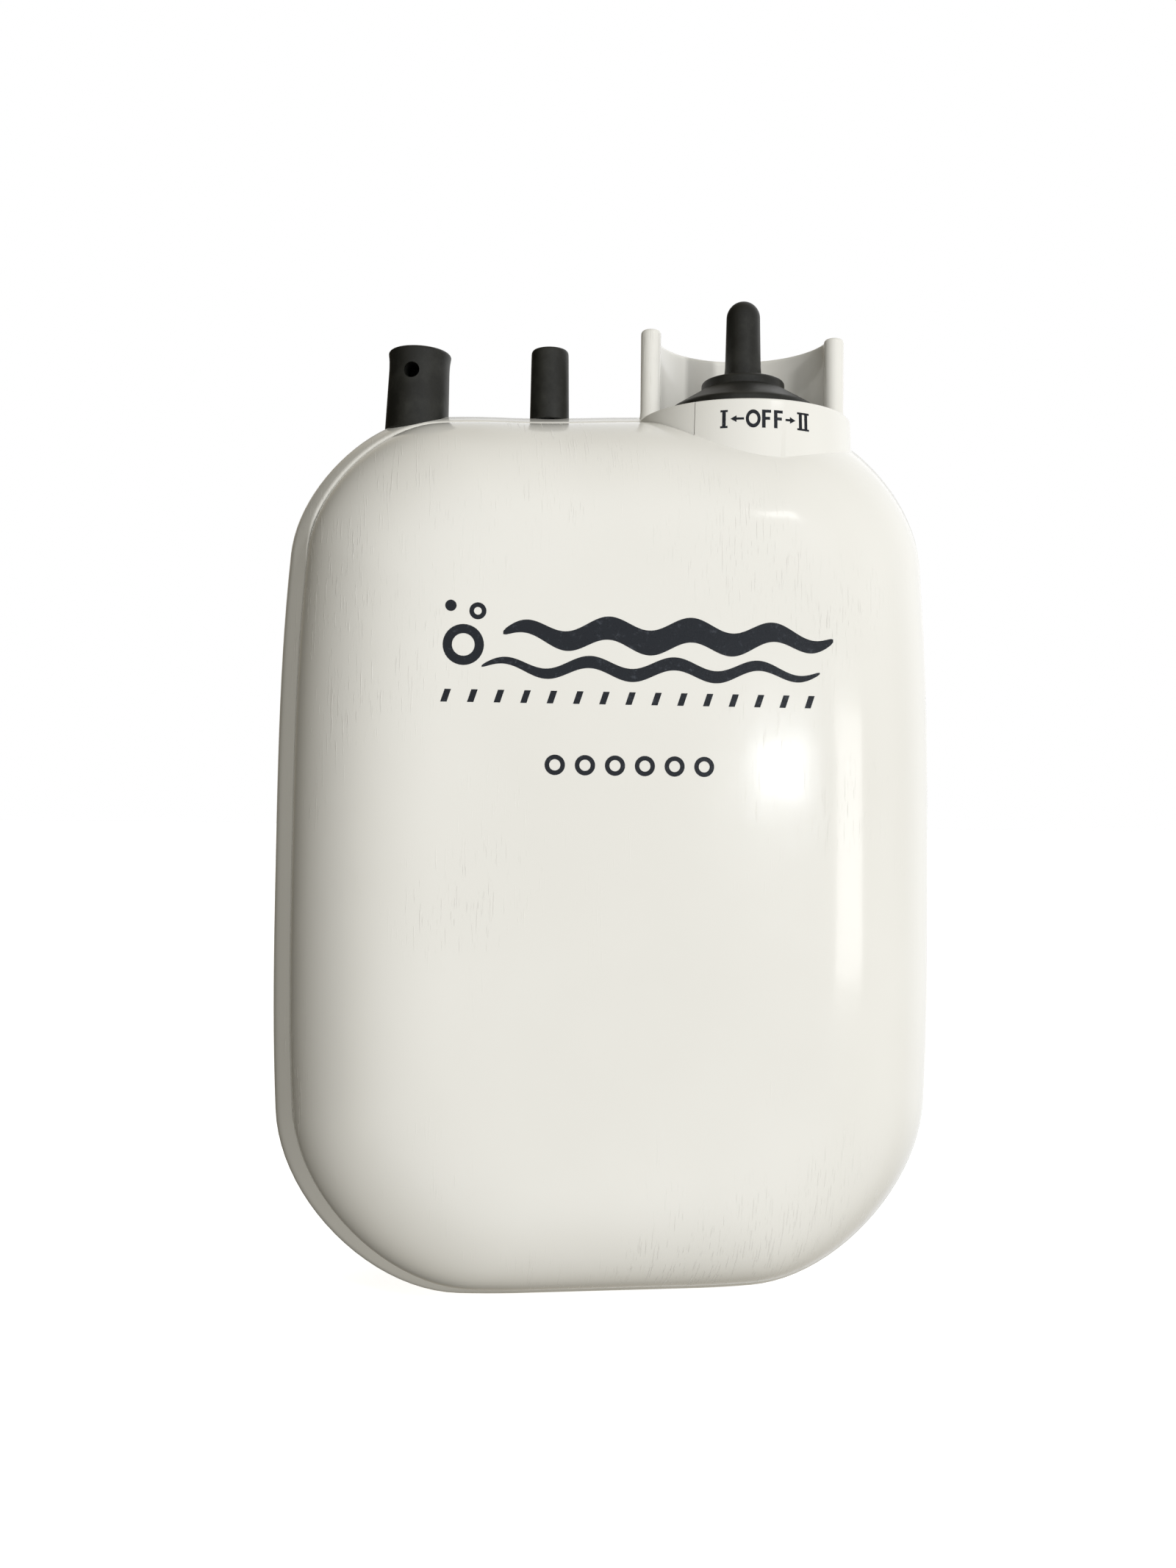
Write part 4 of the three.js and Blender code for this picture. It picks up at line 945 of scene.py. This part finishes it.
def wrap_on_turret(name, outlines, ring, lift=0.03, sink=0.08):
    """Thin ink solids over convex outlines (distance round the turret, z) and over one ring of two loops."""
    points, faces = [], []
    slope = (TURRET_FOOT_R - TURRET_TOP_R) / (TOP_Z - TURRET_FOOT_Z)

    def at(u, z, step):
        r = TURRET_TOP_R + slope * (TOP_Z - z) + step
        a = u / TURRET_TOP_R
        return (TURRET_X + r * math.sin(a), TURRET_Y - r * math.cos(a), z)

    for outline in outlines:
        base = len(points)
        count = len(outline)
        for step in (lift, -sink):
            points += [at(u, z, step) for u, z in outline]
        faces.append([base + k for k in range(count)])
        faces.append([base + count + k for k in reversed(range(count))])
        for k in range(count):
            n = (k + 1) % count
            faces.append([base + n, base + k, base + count + k, base + count + n])
    outer, inner = ring
    base, count = len(points), len(outer)
    for loop in (outer, inner):
        for step in (lift, -sink):
            points += [at(u, z, step) for u, z in loop]
    for k in range(count):
        n = (k + 1) % count
        o, p, i, q = (base + m * count for m in range(4))
        faces += [[o + k, o + n, i + n, i + k], [p + k, q + k, q + n, p + n],
                  [o + n, o + k, p + k, p + n], [i + k, i + n, q + n, q + k]]
    return finish_piece(make(name, points, faces, 30), "ink", "root", slot="rubber_black")


# ---------- carried-over CAD nodes ----------
def dress_nodes():
    """Gives every CAD node the material of its slot."""
    slots = {row["node"]: row["material_slot"] for row in frame["record"]["subparts"]}
    for name, node in frame["nodes"].items():
        node.data.materials.clear()
        node.data.materials.append(MATERIALS[slots[name]])


# ---------- stage ----------
def stage_floor():
    """Plain pale floor, wide enough to reach past every view; it lights nothing and no piece mirrors it."""
    radius, under = 8, 0.0003
    bpy.ops.mesh.primitive_circle_add(vertices=96, radius=radius, fill_type="NGON", location=(0, 0, -under))
    floor = bpy.context.object
    floor.name = "floor"
    s = Shader("pale_floor")
    s.to("Base Color", s.ramp(s.noise(3, 2), [(0.3, (0.90, 0.90, 0.895)), (0.7, (0.92, 0.92, 0.915))]))
    s.set(Roughness=0.9, Emission_Color=(1, 1, 1, 1), Emission_Strength=FLOOR_GLOW)
    floor.data.materials.append(s.material)
    floor.visible_diffuse = False
    floor.visible_glossy = False


def area_light(name, at, aim, size, radiance, colour=(1, 1, 1)):
    """Rectangular soft light whose brightness is given as radiance, so that size and light are separate."""
    data = bpy.data.lights.new(name, "AREA")
    data.shape = "RECTANGLE"
    data.size, data.size_y = size
    data.energy = radiance * math.pi * size[0] * size[1]
    data.color = colour
    light = bpy.data.objects.new(name, data)
    light.location = at
    light.rotation_euler = (Vector(aim) - Vector(at)).to_track_quat("-Z", "Y").to_euler()
    bpy.context.scene.collection.objects.link(light)
    return light


def lights():
    """Window and lamp whose mirror images show on the cushion, a ceiling light and the key, in metres."""
    area_light("window", (0.38, -0.511, 0.062), (0.032, -0.023, 0.075), (0.2, 0.165), 3.4, (1, 0.995, 0.985))
    area_light("lamp", (0.312, -0.98, 0.114), (0.02, -0.02, 0.08), (0.055, 0.045), 20.0, (0.88, 0.93, 1))
    area_light("ceiling", (0.347, -0.725, 0.58), (0.023, -0.022, 0.12), (0.17, 0.06), 4.5)
    key = area_light("key", (0.39, -1.06, 0.46), (0, 0, 0.075), (0.09, 0.09), 158.0, (1, 0.99, 0.975))
    key.visible_glossy = False


class World:
    """The node tree of the surroundings, with a few short helpers."""

    def __init__(self):
        world = bpy.data.worlds.new("studio")
        bpy.context.scene.world = world
        world.use_nodes = True
        self.nodes, self.links = world.node_tree.nodes, world.node_tree.links
        self.way = self.nodes.new("ShaderNodeTexCoord").outputs["Generated"]

    def along(self, direction):
        """How far a ray points along a direction, from -1 to 1."""
        made = self.nodes.new("ShaderNodeVectorMath")
        made.operation = "DOT_PRODUCT"
        self.links.new(self.way, made.inputs[0])
        made.inputs[1].default_value = Vector(direction).normalized()
        return made.outputs["Value"]

    def ramp(self, source, low, high, to_low, to_high):
        made = self.nodes.new("ShaderNodeMapRange")
        made.interpolation_type = "SMOOTHSTEP"
        for key, value in (("From Min", low), ("From Max", high), ("To Min", to_low), ("To Max", to_high)):
            made.inputs[key].default_value = value
        self.links.new(source, made.inputs["Value"])
        return made.outputs["Result"]

    def math(self, operation, a, b):
        made = self.nodes.new("ShaderNodeMath")
        made.operation = operation
        for slot, source in zip(made.inputs, (a, b)):
            self.links.new(source, slot)
        return made.outputs["Value"]


def surroundings():
    """A room that is bright in front, behind and to the right, and dim and olive to the left.

    Each ramp gives the light that comes from round one direction. Seen directly, the room is white.
    """
    w = World()
    side = w.ramp(w.along((1, 0, 0)), -0.15, 0.3, 0.04, 0.21)
    height = w.ramp(w.along((0, 0, 1)), -0.9, 0.9, 1.05, 1.0)
    front = w.ramp(w.along((-0.22, -1, 0)), 0.35, 1.0, 0.0, 0.54)
    right = w.ramp(w.along((1, 0, 0)), 0.6, 1.0, 0.0, 0.38)
    below = w.ramp(w.along((0, -0.5, -1)), 0.2, 1.0, 0.0, 0.43)
    above = w.ramp(w.along((0.3, -0.6, 1)), 0.2, 1.0, 0.0, 0.4)
    behind = w.ramp(w.along((0.6, 1, 0.3)), 0.45, 1.0, 0.0, 0.9)
    strength = w.math("ADD", w.math("MULTIPLY", side, height), front)
    for extra in (right, below, above, behind):
        strength = w.math("ADD", strength, extra)
    tint = w.nodes.new("ShaderNodeMix")
    tint.data_type = "RGBA"
    olive, white = tint.inputs[6], tint.inputs[7]
    olive.default_value = (0.98, 0.86, 0.62, 1)
    white.default_value = (1, 1, 0.99, 1)
    w.links.new(w.ramp(strength, 0.05, 0.9, 0.0, 1.0), tint.inputs["Factor"])
    room = w.nodes["Background"]
    w.links.new(tint.outputs[2], room.inputs["Color"])
    w.links.new(strength, room.inputs["Strength"])
    view = w.nodes.new("ShaderNodeBackground")
    view.inputs["Color"].default_value = (1, 1, 1, 1)
    path = w.nodes.new("ShaderNodeLightPath")
    mix = w.nodes.new("ShaderNodeMixShader")
    w.links.new(path.outputs["Is Camera Ray"], mix.inputs["Fac"])
    w.links.new(room.outputs["Background"], mix.inputs[1])
    w.links.new(view.outputs["Background"], mix.inputs[2])
    w.links.new(mix.outputs["Shader"], w.nodes["World Output"].inputs["Surface"])


def camera():
    """Camera about 23 cm in front and 3 cm left of the middle, turned to the right and slightly up."""
    data = bpy.data.cameras.new("camera")
    data.lens = 34.13
    data.sensor_width = 36
    data.clip_start = 0.01
    cam = bpy.data.objects.new("camera", data)
    yaw, pitch, roll = math.radians(6.77), math.radians(-1.1), math.radians(0.585)
    turned = Matrix.Rotation(roll, 3, "Y") @ Matrix.Rotation(pitch, 3, "X") @ Matrix.Rotation(yaw, 3, "Z")
    right, depth, up = turned[0], turned[1], turned[2]
    axes = Matrix((right, up, -depth)).transposed().to_4x4()
    aim_x, aim_z, distance, pivot_z = 4.169, 10.992, 231.8, 69.4
    pivot = Vector((0, PARTING_Y, pivot_z))
    at = pivot - depth * distance - right * aim_x + up * aim_z
    cam.matrix_world = Matrix.Translation(at * MM) @ axes
    bpy.context.scene.collection.objects.link(cam)
    bpy.context.scene.camera = cam


camera()
dress_nodes()
cover_piece = front_cover()
rear_body()
battery_door()
for index in range(1, 5):
    case_screw(index)
for index in (1, 2):
    dry_cell(index)
intake_cap()
outlet_sleeve()
toggle_boot()
front_print(cover_piece)
switch_legend()
stage_floor()
lights()
surroundings()
bpy.context.scene.view_settings.view_transform = "Standard"
